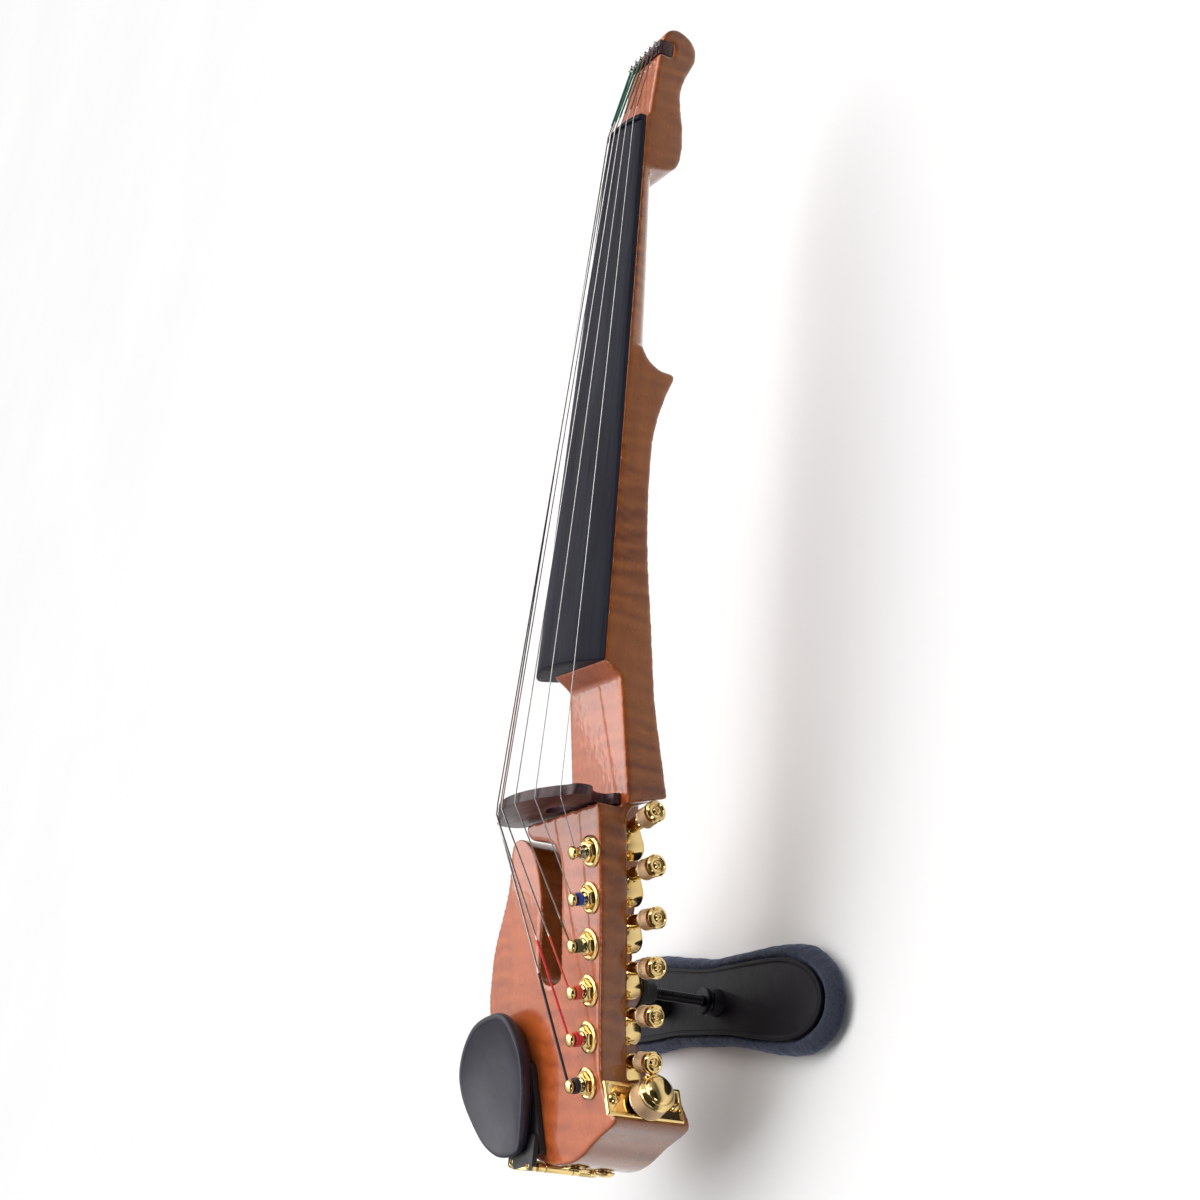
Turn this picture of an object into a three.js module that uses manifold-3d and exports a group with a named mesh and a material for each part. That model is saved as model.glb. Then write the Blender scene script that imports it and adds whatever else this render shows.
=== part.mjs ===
// Six-string headless electric violin, lying on its back.
// Millimetres. +Z is the outward normal of the playing face, +Y runs from the tail to the head,
// +X is the treble side. Everything is drawn from an origin close to the bridge, level with the
// fingerboard's glue face; FRAME_SHIFT then moves the whole instrument.
import * as THREE from "three";
import { mergeVertices } from "three/addons/utils/BufferGeometryUtils.js";
import Module from "manifold-3d";

// ---------------------------------------------------------------- driving dimensions
const FRAME_SHIFT = [24.0, -112.6, 108.5]; // puts the middle of the underside at the origin
const STRING_COUNT = 6;
const NUT_Y = 328;
const NUT_HALF_WIDTH = 15.7;
const SIDE_SLOPE = 0.0526; // growth of the half width per millimetre towards the tail
const BOARD_END_Y = 57;
const BOARD_RADIUS = 52;
const GLUE_GAP = 0.05;
const BODY_BASS_X = -18;
const PANEL_START = { y: 57.6, z: -7.5 }; // top panel just behind the fingerboard
const PANEL_SLOPE = 0.1466; // fall of the top panel towards the tail
const BAY_EDGE = [1.4, -36.2]; // (y, z) where the back of the spine meets the tuner bay
const TAIL_END_Y = -156.2;
const TAIL_BOTTOM_Z = -74;

const SHELF_ORIGIN = [19.0, -25.0, -8.5]; // first tuning post on the shelf's top face
const SHELF_TILT = 12.8; // degrees, falls towards the tail
const SHELF_ROLL = 7.4; // degrees about Y
const SHELF_YAW = -12.2; // degrees about Z
const SHELF_THICKNESS = 13.8;
const TUNER_PITCH = 20.26;
const POST_WAIST_RADIUS = 2.2;

const PLATE_ANGLE = 26; // degrees, control plate's normal from +X towards +Y
const PLATE_CENTRE = [9.2, -126.7, -51.3];
const PLATE_WIDTH = 16.0;
const PLATE_HEIGHT = 38.4;
const PLATE_THICKNESS = 1.6;
const PLATE_SCREW_OFFSET = 15; // above and below the plate's middle
const PLATE_SCREW_BORE = 1.35;
const VOLUME_X = -1.0; // the volume knob sits a little to the tail side of the plate's middle

const END_BUTTON_PLACE = [-38, -62]; // (x, z) on the tail's end
const OUTPUT_JACK_PLACE = [-36, -46];
const COVER_X = [-66, -24];
const COVER_Y = [-147, -133.5];
const HOOK_Z = -60; // floor of the rebate in the back that the chin rest's hook grips

const REST_Y = -77.6;
const REST_POSTS = [ // seatZ: face of the boss on the back that the foot stands against
  { x: -60, seatZ: -38.6, bossHeight: 9 },
  { x: -12, seatZ: -53.8, bossHeight: 8 },
];

// ---------------------------------------------------------------- materials
const material = (settings) => new THREE.MeshStandardMaterial(settings);
const MAPLE = material({ color: 0xb4581f, roughness: 0.22, metalness: 0 });
const EBONY = material({ color: 0x2a2930, roughness: 0.45, metalness: 0 });
const ROSEWOOD = material({ color: 0x4a2a2c, roughness: 0.5, metalness: 0 });
const GOLD = material({ color: 0xd9a441, roughness: 0.18, metalness: 1 });
const STEEL = material({ color: 0xb9b6b4, roughness: 0.3, metalness: 1 });
const DARK_STEEL = material({ color: 0x26262a, roughness: 0.4, metalness: 0.8 });
const BLACK = material({ color: 0x17181c, roughness: 0.5, metalness: 0 });
const FOAM = material({ color: 0x1b1e2b, roughness: 0.9, metalness: 0 });
const RUBBER = material({ color: 0x141414, roughness: 0.8, metalness: 0 });

// ---------------------------------------------------------------- numbers and matrices
const lerp = (a, b, t) => a + (b - a) * t;
const radians = (degrees) => (degrees * Math.PI) / 180;
const span = (half) => [-half, half];
const shift = (x, y, z) => new THREE.Matrix4().makeTranslation(x, y, z);
const turnX = (angle) => new THREE.Matrix4().makeRotationX(angle);
const turnY = (angle) => new THREE.Matrix4().makeRotationY(angle);
const turnZ = (angle) => new THREE.Matrix4().makeRotationZ(angle);

function smoothStep(t) {
  const s = Math.min(1, Math.max(0, t));
  return s * s * (3 - 2 * s);
}

function centreOf(points) {
  return points[0].map((_, axis) => points.reduce((sum, p) => sum + p[axis] / points.length, 0));
}

// ---------------------------------------------------------------- solid helpers
const wasm = await Module();
wasm.setup();

function solid(geometry, matrix) {
  const bare = geometry.clone();
  bare.deleteAttribute("normal");
  bare.deleteAttribute("uv");
  if (matrix) bare.applyMatrix4(matrix);
  const merged = mergeVertices(bare, 1e-4);
  return new wasm.Manifold(
    new wasm.Mesh({
      numProp: 3,
      vertProperties: merged.attributes.position.array,
      triVerts: new Uint32Array(merged.index.array),
    }),
  );
}

function geometryOf(manifold) {
  const mesh = manifold.getMesh();
  const shared = new THREE.BufferGeometry();
  shared.setAttribute("position", new THREE.BufferAttribute(mesh.vertProperties, 3));
  shared.setIndex(new THREE.BufferAttribute(mesh.triVerts, 1));
  const faceted = shared.toNonIndexed();
  faceted.computeVertexNormals();
  return faceted;
}

const cutAll = (block, cuts) => cuts.reduce((rest, cut) => rest.subtract(cut), block);

function prismGeometry(points, z0, z1) {
  const outline = points.map((p) => new THREE.Vector2(...p));
  if (THREE.ShapeUtils.area(outline) < 0) outline.reverse();
  const shape = new THREE.Shape(outline);
  const geometry = new THREE.ExtrudeGeometry(shape, { depth: z1 - z0, bevelEnabled: false });
  return geometry.translate(0, 0, z0);
}

// outline in (x, y), raised from z0 to z1
const prismZ = (points, z0, z1) => solid(prismGeometry(points, z0, z1));

// outline in (y, z), carried from x0 to x1
const YZ_TO_WORLD = new THREE.Matrix4().makeBasis(
  new THREE.Vector3(0, 1, 0),
  new THREE.Vector3(0, 0, 1),
  new THREE.Vector3(1, 0, 0),
);
const prismX = (points, x0, x1) => solid(prismGeometry(points, x0, x1), YZ_TO_WORLD);

// each side is a [low, high] pair
function box([x0, x1], [y0, y1], [z0, z1], matrix) {
  const geometry = new THREE.BoxGeometry(x1 - x0, y1 - y0, z1 - z0);
  geometry.translate((x0 + x1) / 2, (y0 + y1) / 2, (z0 + z1) / 2);
  return solid(geometry, matrix);
}

// profile of (radius, height) pairs, listed upwards, turned about the local Z axis
function turned(profile, segments, matrix) {
  const geometry = new THREE.LatheGeometry(profile.map((p) => new THREE.Vector2(...p)), segments);
  geometry.rotateX(Math.PI / 2);
  return solid(geometry, matrix);
}

const cylinder = (radius, z0, z1, segments, matrix) =>
  turned([[0, z0], [radius, z0], [radius, z1], [0, z1]], segments, matrix);

// closed skin through rings that share one vertex count, faced outwards
function loft(rings) {
  const count = rings[0].length;
  const positions = rings.flat(2);
  const index = [];
  for (let k = 0; k + 1 < rings.length; k++) {
    for (let i = 0; i < count; i++) {
      const a = k * count + i;
      const b = k * count + ((i + 1) % count);
      index.push(a, b, b + count, a, b + count, a + count);
    }
  }
  for (const k of [0, rings.length - 1]) {
    const centre = positions.length / 3;
    positions.push(...centreOf(rings[k]));
    for (let i = 0; i < count; i++) {
      const a = k * count + i;
      const b = k * count + ((i + 1) % count);
      if (k === 0) index.push(centre, b, a);
      else index.push(centre, a, b);
    }
  }
  const geometry = new THREE.BufferGeometry();
  geometry.setAttribute("position", new THREE.Float32BufferAttribute(positions, 3));
  geometry.setIndex(index);
  if (solid(geometry).volume() < 0) {
    const corners = geometry.index.array;
    for (let i = 0; i < corners.length; i += 3) {
      [corners[i + 1], corners[i + 2]] = [corners[i + 2], corners[i + 1]];
    }
  }
  return geometry;
}

const loftSolid = (rings, matrix) => solid(loft(rings), matrix);

// round bar through a list of points, mitred at each bend
function tube(path, radius, sides) {
  const points = path.map((p) => new THREE.Vector3(...p));
  const legFrom = (i) => points[i + 1].clone().sub(points[i]).normalize();
  const seed = new THREE.Vector3(0.31, 0.17, 0.93); // any direction that is off every leg
  let across = null;
  const rings = points.map((point, i) => {
    const before = legFrom(Math.max(i - 1, 0));
    const after = i + 1 < points.length ? legFrom(i) : before.clone();
    const along = before.clone().add(after).normalize();
    if (across) across.addScaledVector(along, -across.dot(along)).normalize();
    else across = seed.cross(along).normalize();
    const up = along.clone().cross(across).normalize();
    const bend = after.clone().sub(before).normalize();
    const stretch = 1 / Math.max(0.5, along.dot(before));
    const ring = [];
    for (let k = 0; k < sides; k++) {
      const angle = (2 * Math.PI * k) / sides;
      const spoke = across.clone().multiplyScalar(Math.cos(angle) * radius);
      spoke.addScaledVector(up, Math.sin(angle) * radius);
      spoke.addScaledVector(bend, spoke.dot(bend) * (stretch - 1));
      ring.push(point.clone().add(spoke).toArray());
    }
    return ring;
  });
  return loft(rings);
}

const instrument = new THREE.Group();
instrument.name = "electric_violin";

function addGeometry(name, geometry, finish, parent = instrument) {
  const mesh = new THREE.Mesh(geometry, finish);
  mesh.name = name;
  parent.add(mesh);
}

function addSolid(name, manifold, finish, parent) {
  addGeometry(name, geometryOf(manifold), finish, parent);
}

// ---------------------------------------------------------------- shared surfaces and frames
const halfWidth = (y) => NUT_HALF_WIDTH + SIDE_SLOPE * (NUT_Y - y);
const panelZ = (y) => PANEL_START.z + (y - PANEL_START.y) * PANEL_SLOPE;
const bassX = (y) => lerp(BODY_BASS_X, -halfWidth(y), smoothStep((y - 110) / 80));

// shelf frame: the shelf's top face is local z = 0, the posts stand along local -Y
const shelfMatrix = turnZ(radians(SHELF_YAW))
  .multiply(turnY(radians(SHELF_ROLL)))
  .multiply(turnX(radians(SHELF_TILT)));
shelfMatrix.setPosition(...SHELF_ORIGIN);
const shelfSlab = (z0, z1) => box(span(300), span(300), [z0, z1], shelfMatrix);
const postY = (i) => -i * TUNER_PITCH;

// control plate frame: local X runs towards the head, local Y up, local Z out of the wall
const plateSin = Math.sin(radians(PLATE_ANGLE));
const plateCos = Math.cos(radians(PLATE_ANGLE));
const plateMatrix = new THREE.Matrix4().makeBasis(
  new THREE.Vector3(-plateSin, plateCos, 0),
  new THREE.Vector3(0, 0, 1),
  new THREE.Vector3(plateCos, plateSin, 0),
);
plateMatrix.setPosition(...PLATE_CENTRE);

// frame on the tail's end whose local Z points out of it, to -Y
const tailAxis = ([x, z]) => shift(x, TAIL_END_Y, z).multiply(turnX(Math.PI / 2));

// ---------------------------------------------------------------- body, one piece of maple
function headBlock() {
  const treble = [392, 340, 296, 250, 205].map((y) => [halfWidth(y), y]);
  const bass = treble.map(([x, y]) => [-x, y]).reverse();
  const profile = [ // (y, z)
    [304, 0], [331.8, 0], [333, -1.6], [350, -3.0], [369, -4.9], [377, -6.0], [382.4, -8.8],
    [384.8, -12.7], [384.5, -17], [381.6, -21.8], [377.5, -24.8], [372, -25.3], [366, -23.2],
    [359, -20.3], [352.8, -18.6], [344, -18.6], [336, -20], [329.5, -20.9], [323, -21.2],
    [317.7, -21.0], [313, -20.4], [309.8, -19.2], [307.6, -17.2], [306.3, -14.4], [305.5, -11],
    [304.7, -7], [304, -3],
  ];
  return prismX(profile, -30, 30).intersect(prismZ(treble.concat(bass), -40, 20));
}

// the neck's back is a half ellipse under a thin straight edge
function neck() {
  const stations = [ // (y, depth of the half ellipse)
    [306, 8.4], [292, 9.0], [262, 10.9], [234, 12.5], [218, 13.2], [206, 15], [196, 17],
  ];
  const steps = 14;
  const edge = 1;
  const rings = stations.map(([y, depth]) => {
    const half = halfWidth(y);
    const ring = [[half, y, 0], [-half, y, 0], [-half, y, -edge]];
    for (let k = 1; k < steps; k++) {
      const angle = Math.PI - (Math.PI * k) / steps;
      ring.push([half * Math.cos(angle), y, -edge - depth * Math.sin(angle)]);
    }
    ring.push([half, y, -edge]);
    return ring;
  });
  return loftSolid(rings);
}

// the spine under the fingerboard, with the heel's scoop at its head end
function spine() {
  const profile = [ // (y, z)
    [211, 0], [211, -7.6], [208.4, -9], [205.2, -11.6], [203, -14.8], [201.6, -18.4],
    [201.4, -23.6], [200.2, -25.6], [197.5, -24.9], [192, -22.8], [187.3, -21.2], [176, -18.2],
    [166, -16.7], [150, -16.3], [135, -16.6], [117, -17.6], [100, -19.4], [84.4, -21.6],
    [64, -24.2], [44.2, -26.8], [30.6, -29.6], [18, -32.5], [6, -35.2], BAY_EDGE, [-12, -38.4],
    [-12, panelZ(-12)], [51.5, panelZ(51.5)], [BOARD_END_Y - 0.2, 0],
  ];
  const treble = [215, 180, 140, 100, 60, 20, -4.4, -12].map((y) => [halfWidth(y), y]);
  const bass = [-12, 20, 60, 100, 120, 135, 150, 165, 180, 195, 215].map((y) => [bassX(y), y]);
  return prismX(profile, -40, 45).intersect(prismZ(treble.concat(bass), -60, 20));
}

// tuner shelf, bass arm and tail block from one plan outline
function tail() {
  const plan = [ // (x, y)
    [28.2, -5.0], [-31.0, -10.0], [-31.8, -13.2], [-29, -16.4], [-21, -17.6], [-13, -19.2],
    [-8.4, -22.6], [-6.6, -28], [-9.8, -44.5], [-13.2, -60], [-16.4, -73], [-18.2, -76.6],
    [-21.5, -78.6], [-27.5, -79.4], [-32, -78], [-34.0, -73.5], [-31.2, -62], [-27.2, -50],
    [-25.2, -36], [-26.8, -25], [-29.6, -19.8], [-34, -16.4], [-39, -15.3], [-43.4, -16.2],
    [-46.6, -19.6], [-49.6, -28], [-53.2, -36.5], [-58.2, -44.2], [-68, -57.2], [-74, -67],
    [-78.2, -77], [-81.2, -85], [-82.8, -94], [-84, -106], [-83.2, -120], [-79.6, -132],
    [-72.6, -142.6], [-62.6, -150.6], [-51.5, -155.0], [-40, TAIL_END_Y], [-27.5, -155.0],
    [-16.4, -151.2], [-6.5, -145.6], [3.6, -140.8], [9.4, -138.2], [12.1, -136.5],
    [13.4, -135.2], [13.6, -134.1], [5.9, -118.4], [6.7, -112], [9.8, -95.7], [15.6, -72],
    [21.4, -46.2], [26.2, -22], [28.2, -11],
  ];
  const underside = [ // (y, z)
    [20, -120], [20, -33], BAY_EDGE, [-28, -41.5], [-60, -46.5], [-90, -54.5], [-106, -61.5],
    [-120, -69.5], [-132, -73.2], [-148, TAIL_BOTTOM_Z], [-175, TAIL_BOTTOM_Z], [-175, -120],
  ];
  // the bass arm is thinner than the tail block it grows from
  const armUnderside = [ // (y, z)
    [5, -120], [5, -12], [-14, -19.5], [-40, -26], [-66, -33], [-84, -37.5], [-98, -42.5],
    [-110, -52], [-120, -63], [-131, -73.4], [-131, -120],
  ];
  return cutAll(prismZ(plan, -100, 40), [
    shelfSlab(0, 120),
    prismX(underside, -120, 60),
    prismX(armUnderside, -120, -20.5),
  ]);
}

// the bay under the shelf that holds the tuner gears, open to the treble side and to the back
function tunerBay() {
  const plan = [ // (x, y)
    [70, 6], [70, -118.8], [1.5, -118.8], [1.5, -122.4], [0.3, -124.0], [0.3, -129.4],
    [-14.2, -129.4], [-14.2, -106], [8.3, -9.5], [8.3, 6],
  ];
  const profile = [ // (y, z)
    [-140, 20], [-140, -130], [4, -130], BAY_EDGE, [-4.2, -22], [-10, -18.6], [-10, 20],
  ];
  return prismZ(plan, -120, 40)
    .intersect(shelfSlab(-SHELF_THICKNESS - 200, -SHELF_THICKNESS))
    .intersect(prismX(profile, -60, 90));
}

// the treble corner of the spine behind the bridge is cut back to the bay
function trebleCorner() {
  const plan = [[28.4, 8], [70, 8], [70, -40], [28.4, -40]]; // (x, y)
  const profile = [[-40, 20], [-40, -80], [4, -80], BAY_EDGE, [-4.2, -16.6], [-4.2, 20]]; // (y, z)
  return prismZ(plan, -90, 40).intersect(prismX(profile, 20, 80));
}

const restBoss = ({ x, seatZ, bossHeight }) =>
  cylinder(8.1, 0, bossHeight, 24, shift(x, REST_Y, seatZ));

function bushingHole(i) {
  const base = shift(0, postY(i), -SHELF_THICKNESS - 3);
  return cylinder(4.6, 0, SHELF_THICKNESS + 6, 20, shelfMatrix.clone().multiply(base));
}

// pocket for the control plate, with bores for the volume pot and the two screws
function platePocket() {
  const clearance = 0.3;
  const bore = (radius, z0, segments, x, y) =>
    cylinder(radius, z0, 6, segments, plateMatrix.clone().multiply(shift(x, y, 0)));
  return [
    box(
      span(PLATE_WIDTH / 2 + clearance),
      span(PLATE_HEIGHT / 2 + clearance),
      [-clearance, 20],
      plateMatrix,
    ),
    bore(4.7, -5.6, 20, VOLUME_X, 0),
    bore(PLATE_SCREW_BORE, -5.4, 10, 0, -PLATE_SCREW_OFFSET),
    bore(PLATE_SCREW_BORE, -5.4, 10, 0, PLATE_SCREW_OFFSET),
  ];
}

// electronics cavity in the back of the tail block, with a rebate for its cover
function coverCavity() {
  const inset = ([low, high], by) => [low + by, high - by];
  return [
    box(inset(COVER_X, -0.3), inset(COVER_Y, -0.3), [-90, -71.6]),
    box(inset(COVER_X, 4), inset(COVER_Y, 3), [-90, -45]),
  ];
}

const tailBore = (place, radius, depth) => cylinder(radius, -depth, 20, 16, tailAxis(place));

function body() {
  let maple = headBlock().add(neck()).add(spine()).add(tail());
  maple = cutAll(maple, [tunerBay(), trebleCorner()]);
  for (const post of REST_POSTS) maple = maple.add(restBoss(post));
  const anchorSlot = box(span(40), [368.3, 376.3], [-12.2, 20]);
  const hookRebate = box([-90, -43.6], [-175, -148.2], [-100, HOOK_Z]);
  const bushingHoles = Array.from({ length: STRING_COUNT }, (_, i) => bushingHole(i));
  return cutAll(maple, [
    anchorSlot,
    ...bushingHoles,
    ...platePocket(),
    hookRebate,
    ...coverCavity(),
    tailBore(END_BUTTON_PLACE, 3.4, 8),
    tailBore(OUTPUT_JACK_PLACE, 5.0, 7.5),
  ]);
}
addSolid("body", body(), MAPLE);

// ---------------------------------------------------------------- fingerboard and nut
// cross-section at y with a flat underside and a top that follows topZ(x)
function crownedRing(half, y, steps, topZ) {
  const ring = [[half, y, GLUE_GAP], [-half, y, GLUE_GAP]];
  for (let k = 0; k <= steps; k++) {
    const x = -half + (2 * half * k) / steps;
    ring.push([x, y, topZ(x)]);
  }
  return ring;
}

function boardTop(x, y) {
  const t = (NUT_Y - y) / (NUT_Y - BOARD_END_Y); // 0 at the nut, 1 at the tail end
  const crown = lerp(5.4, 11.2, t);
  const tilt = lerp(-0.012, -0.035, t);
  return crown - (BOARD_RADIUS - Math.sqrt(BOARD_RADIUS ** 2 - x * x)) + tilt * x;
}

// the keel fills under the board's bass overhang, beside the spine
function boardKeel() {
  const stations = [[165, 1.2], [140, 3], [110, 6], [80, 8], [BOARD_END_Y, 8.8]]; // (y, depth)
  const rings = stations.map(([y, depth]) => {
    const inner = bassX(y) - 0.3;
    const edge = -halfWidth(y);
    return [
      [edge + 0.05, y, 1.0],
      [inner, y, 1.0],
      [inner, y, -depth],
      [lerp(inner, edge, 0.35), y, -depth * 0.86],
      [lerp(inner, edge, 0.75), y, -depth * 0.35],
      [edge + 0.05, y, 0.3],
    ];
  });
  return loftSolid(rings);
}

function fingerboard() {
  const rings = [NUT_Y - 0.2, 260, 190, 120, BOARD_END_Y].map((y) =>
    crownedRing(halfWidth(y), y, 16, (x) => Math.max(0.5, boardTop(x, y))));
  return loftSolid(rings).add(boardKeel());
}
addSolid("fingerboard", fingerboard(), EBONY);

const nutTop = (x) => 6.5 - (x * x) / (2 * BOARD_RADIUS);

function nut() {
  const half = 15.3;
  const headDrop = 1.2; // the top is lower on the head side
  return loftSolid([
    crownedRing(half, NUT_Y + 3.6, 10, (x) => nutTop(x) - headDrop),
    crownedRing(half, NUT_Y + 0.1, 10, nutTop),
  ]);
}
addSolid("nut", nut(), EBONY);

// ---------------------------------------------------------------- string anchor bar
addSolid("string_anchor_bar", box(span(12.9), [368.6, 376.0], [-11.9, -4.6]), ROSEWOOD);

// ---------------------------------------------------------------- strings and their ball ends
const STRING_RADII = [0.2, 0.26, 0.32, 0.38, 0.45, 0.52]; // treble to bass
const STRING_SIDES = 6;
const STRING_CLEARANCE = 0.12;
const NUT_STRING_PITCH = 5.04;
const ANCHOR_PITCH = 4.4;
const ANCHOR_START = { y: 372.6, z: -2.6 };
const ANCHOR_STAGGER = 0.55; // each ball end sits this much nearer the tail than the last
const WINDING_HEIGHT = 6.4; // where a string reaches its post, over the shelf
const TURN_STEPS = 9;
const WINDING_STEPS = 13; // nearly a turn and a half

const BRIDGE_ARC_RADIUS = 47.4;
const BRIDGE_ARC_CENTRE_Z = -22.85;
const BRIDGE_STRING_ANGLE = 15.3; // degrees between neighbouring strings on the bridge arc
const BRIDGE_THICKNESS = 4.7;
const BRIDGE_MIDDLE = { y: -4.6, z: -2 };
const BRIDGE_YAW = 0.08; // shift towards the head per millimetre to the treble side
const BRIDGE_LEAN = 0.07; // shift towards the tail per millimetre of height

// the string meets the post on its bass side and winds down round the waist
function winding(stringRadius, i, bridgePoint) {
  const shelfX = new THREE.Vector3(1, 0, 0).transformDirection(shelfMatrix);
  const shelfY = new THREE.Vector3(0, 1, 0).transformDirection(shelfMatrix);
  const shelfNormal = new THREE.Vector3(0, 0, 1).transformDirection(shelfMatrix);
  const post = new THREE.Vector3(0, postY(i), WINDING_HEIGHT).applyMatrix4(shelfMatrix);
  const toBridge = new THREE.Vector3(...bridgePoint).sub(post);
  const across = toBridge.dot(shelfX);
  const along = toBridge.dot(shelfY);
  const wrapRadius = POST_WAIST_RADIUS + stringRadius + STRING_CLEARANCE;
  const start = Math.atan2(along, across) + Math.acos(wrapRadius / Math.hypot(across, along));
  const dropPerTurn = 2 * stringRadius + 0.1;
  const points = [];
  for (let k = 0; k <= WINDING_STEPS; k++) {
    const angle = start + (k * 2 * Math.PI) / TURN_STEPS;
    // past the tangent point the corners stand out so that the flats clear the waist
    const radius = wrapRadius / (k === 0 ? 1 : Math.cos(Math.PI / TURN_STEPS));
    const point = post.clone()
      .addScaledVector(shelfX, radius * Math.cos(angle))
      .addScaledVector(shelfY, radius * Math.sin(angle))
      .addScaledVector(shelfNormal, 0.5 - (k * dropPerTurn) / TURN_STEPS);
    points.push(point.toArray());
  }
  return points;
}

function bridgePointOf(fromMiddle) {
  const angle = radians(fromMiddle * BRIDGE_STRING_ANGLE);
  const x = BRIDGE_ARC_RADIUS * Math.sin(angle);
  const z = BRIDGE_ARC_CENTRE_Z + BRIDGE_ARC_RADIUS * Math.cos(angle);
  return [x, BRIDGE_MIDDLE.y + BRIDGE_YAW * x - BRIDGE_LEAN * (z - BRIDGE_MIDDLE.z), z];
}

function ballEnd(anchor) {
  const profile = [[0, -1.6], [1.35, -1.6], [1.75, -1.1], [1.75, 1.1], [1.35, 1.6], [0, 1.6]];
  return turned(profile, 10, shift(...anchor).multiply(turnY(Math.PI / 2)));
}

function stringPath(stringRadius, i, anchor) {
  const fromMiddle = (STRING_COUNT - 1) / 2 - i;
  const nutX = fromMiddle * NUT_STRING_PITCH;
  const nutY = NUT_Y + 0.6;
  const nutZ = nutTop(nutX) + stringRadius + STRING_CLEARANCE;
  const bridgePoint = bridgePointOf(fromMiddle);
  const [bridgeX, bridgeY, bridgeZ] = bridgePoint;
  return [
    [anchor[0], anchor[1] - 2.1 - stringRadius, anchor[2] + 0.2],
    [nutX, nutY, nutZ],
    [nutX, nutY - 1.2, nutZ + 0.03],
    [bridgeX * 0.996, bridgeY + 2.6, bridgeZ + 0.08],
    [bridgeX, bridgeY - 2.4, bridgeZ - 0.05],
    ...winding(stringRadius, i, bridgePoint),
  ];
}

STRING_RADII.forEach((radius, i) => {
  const anchorX = ((STRING_COUNT - 1) / 2 - i) * ANCHOR_PITCH;
  const anchor = [anchorX, ANCHOR_START.y - i * ANCHOR_STAGGER, ANCHOR_START.z];
  addSolid(`ball_end_${i + 1}`, ballEnd(anchor), STEEL);
  addGeometry(`string_${i + 1}`, tube(stringPath(radius, i, anchor), radius, STRING_SIDES), STEEL);
});

// ---------------------------------------------------------------- bridge
function bridge() {
  const topDrop = 0.85; // top edge below the arc of the strings
  const wing = 31;
  const topSteps = 20;
  const outline = []; // (x, z)
  for (let k = 0; k <= topSteps; k++) {
    const x = -wing + (2 * wing * k) / topSteps;
    outline.push([x, BRIDGE_ARC_CENTRE_Z + Math.sqrt(BRIDGE_ARC_RADIUS ** 2 - x * x) - topDrop]);
  }
  outline.push(
    [33.8, 11.2], [35.2, 9.6], [35.4, 5.2], [34.2, 2.6], [32, 0.6], [27, -2.2], [23.4, -7],
    [23.6, -11.2], [26.4, -12.8], [27.4, -15.6], [-12.6, -15.6], [-14.2, -12.4], [-17, -8.2],
    [-23, -5.4], [-31, -4.6], [-37, -3.6], [-40.4, -0.6], [-40.8, 4.8], [-38.6, 9.8],
    [-35, 12.0],
  );
  // a low oval opening lightens the plate between its wings and its foot
  const opening = [];
  for (let k = 0; k < 18; k++) {
    const angle = (k * Math.PI) / 9;
    opening.push([4 + 9 * Math.cos(angle), 2 + 4.2 * Math.sin(angle)]);
  }
  const plate = prismZ(outline, -BRIDGE_THICKNESS / 2, BRIDGE_THICKNESS / 2);
  // set upright, leaning to the tail and turned a little about Z
  const upright = new THREE.Matrix4().set(
    1, 0, 0, 0,
    BRIDGE_YAW, -BRIDGE_LEAN, -1, BRIDGE_MIDDLE.y + BRIDGE_LEAN * BRIDGE_MIDDLE.z,
    0, 1, 0, 0,
    0, 0, 0, 1,
  );
  const geometry = geometryOf(plate.subtract(prismZ(opening, -6, 6)));
  geometry.applyMatrix4(upright);
  geometry.computeVertexNormals();
  return geometry;
}
addGeometry("bridge", bridge(), ROSEWOOD);

// ---------------------------------------------------------------- tuners
const WORM_OFFSET = 7.1; // worm axis from the post's axis
const WORM_DEPTH = 19.5; // worm axis under the shelf's top face
const POST_HEIGHT = 10.7;
const POST_RADIUS = 2.95;
const KNOB_RADIUS = 4.85;
const KNOB_LENGTH = 10.5;
const KNOB_ENDS = [ // end of each knob from its post: across the shelf, towards the head
  [21.4, 19.2], [22.7, 16.2], [24.0, 14.0], [24.3, 12.6], [23.7, 11.7], [22.6, 11.5],
];

// threaded bushing with a dished flange on the shelf
function tunerBushing() {
  const profile = [
    [0, -12.9], [4.2, -12.9], [4.2, 0.2], [7.0, 0.2], [7.0, 0.9], [6.2, 1.5], [4.9, 2.3],
    [4.2, 3.4], [0, 3.4],
  ];
  return turned(profile, 14).subtract(cylinder(3.15, -20, 20, 14));
}

// gear housing under the shelf, open on top, with a hole for the worm shaft
function tunerHousing() {
  const wormHole = shift(6.4, WORM_OFFSET, -WORM_DEPTH).multiply(turnZ(Math.PI / 2));
  return cutAll(box([-6.3, 6.0], [-6.3, 10.2], [-24.2, -14.15]), [
    box([-5.3, 5.0], [-5.4, 9.2], [-23.2, -10]),
    solid(new THREE.CylinderGeometry(1.78, 1.78, 6, 14), wormHole),
  ]);
}

// string post with its gear on the foot
function tunerPost() {
  const profile = [
    [0, -22.9], [1.8, -22.9], [1.8, -21.2], [4.9, -21.2], [4.9, -17.8], [POST_RADIUS, -17.8],
    [POST_RADIUS, 3.5], [POST_WAIST_RADIUS, 4.1], [POST_WAIST_RADIUS, 8.2], [POST_RADIUS, 9.1],
    [POST_RADIUS, 10.2], [2.5, POST_HEIGHT], [0, POST_HEIGHT],
  ];
  return turned(profile, 12);
}

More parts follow.
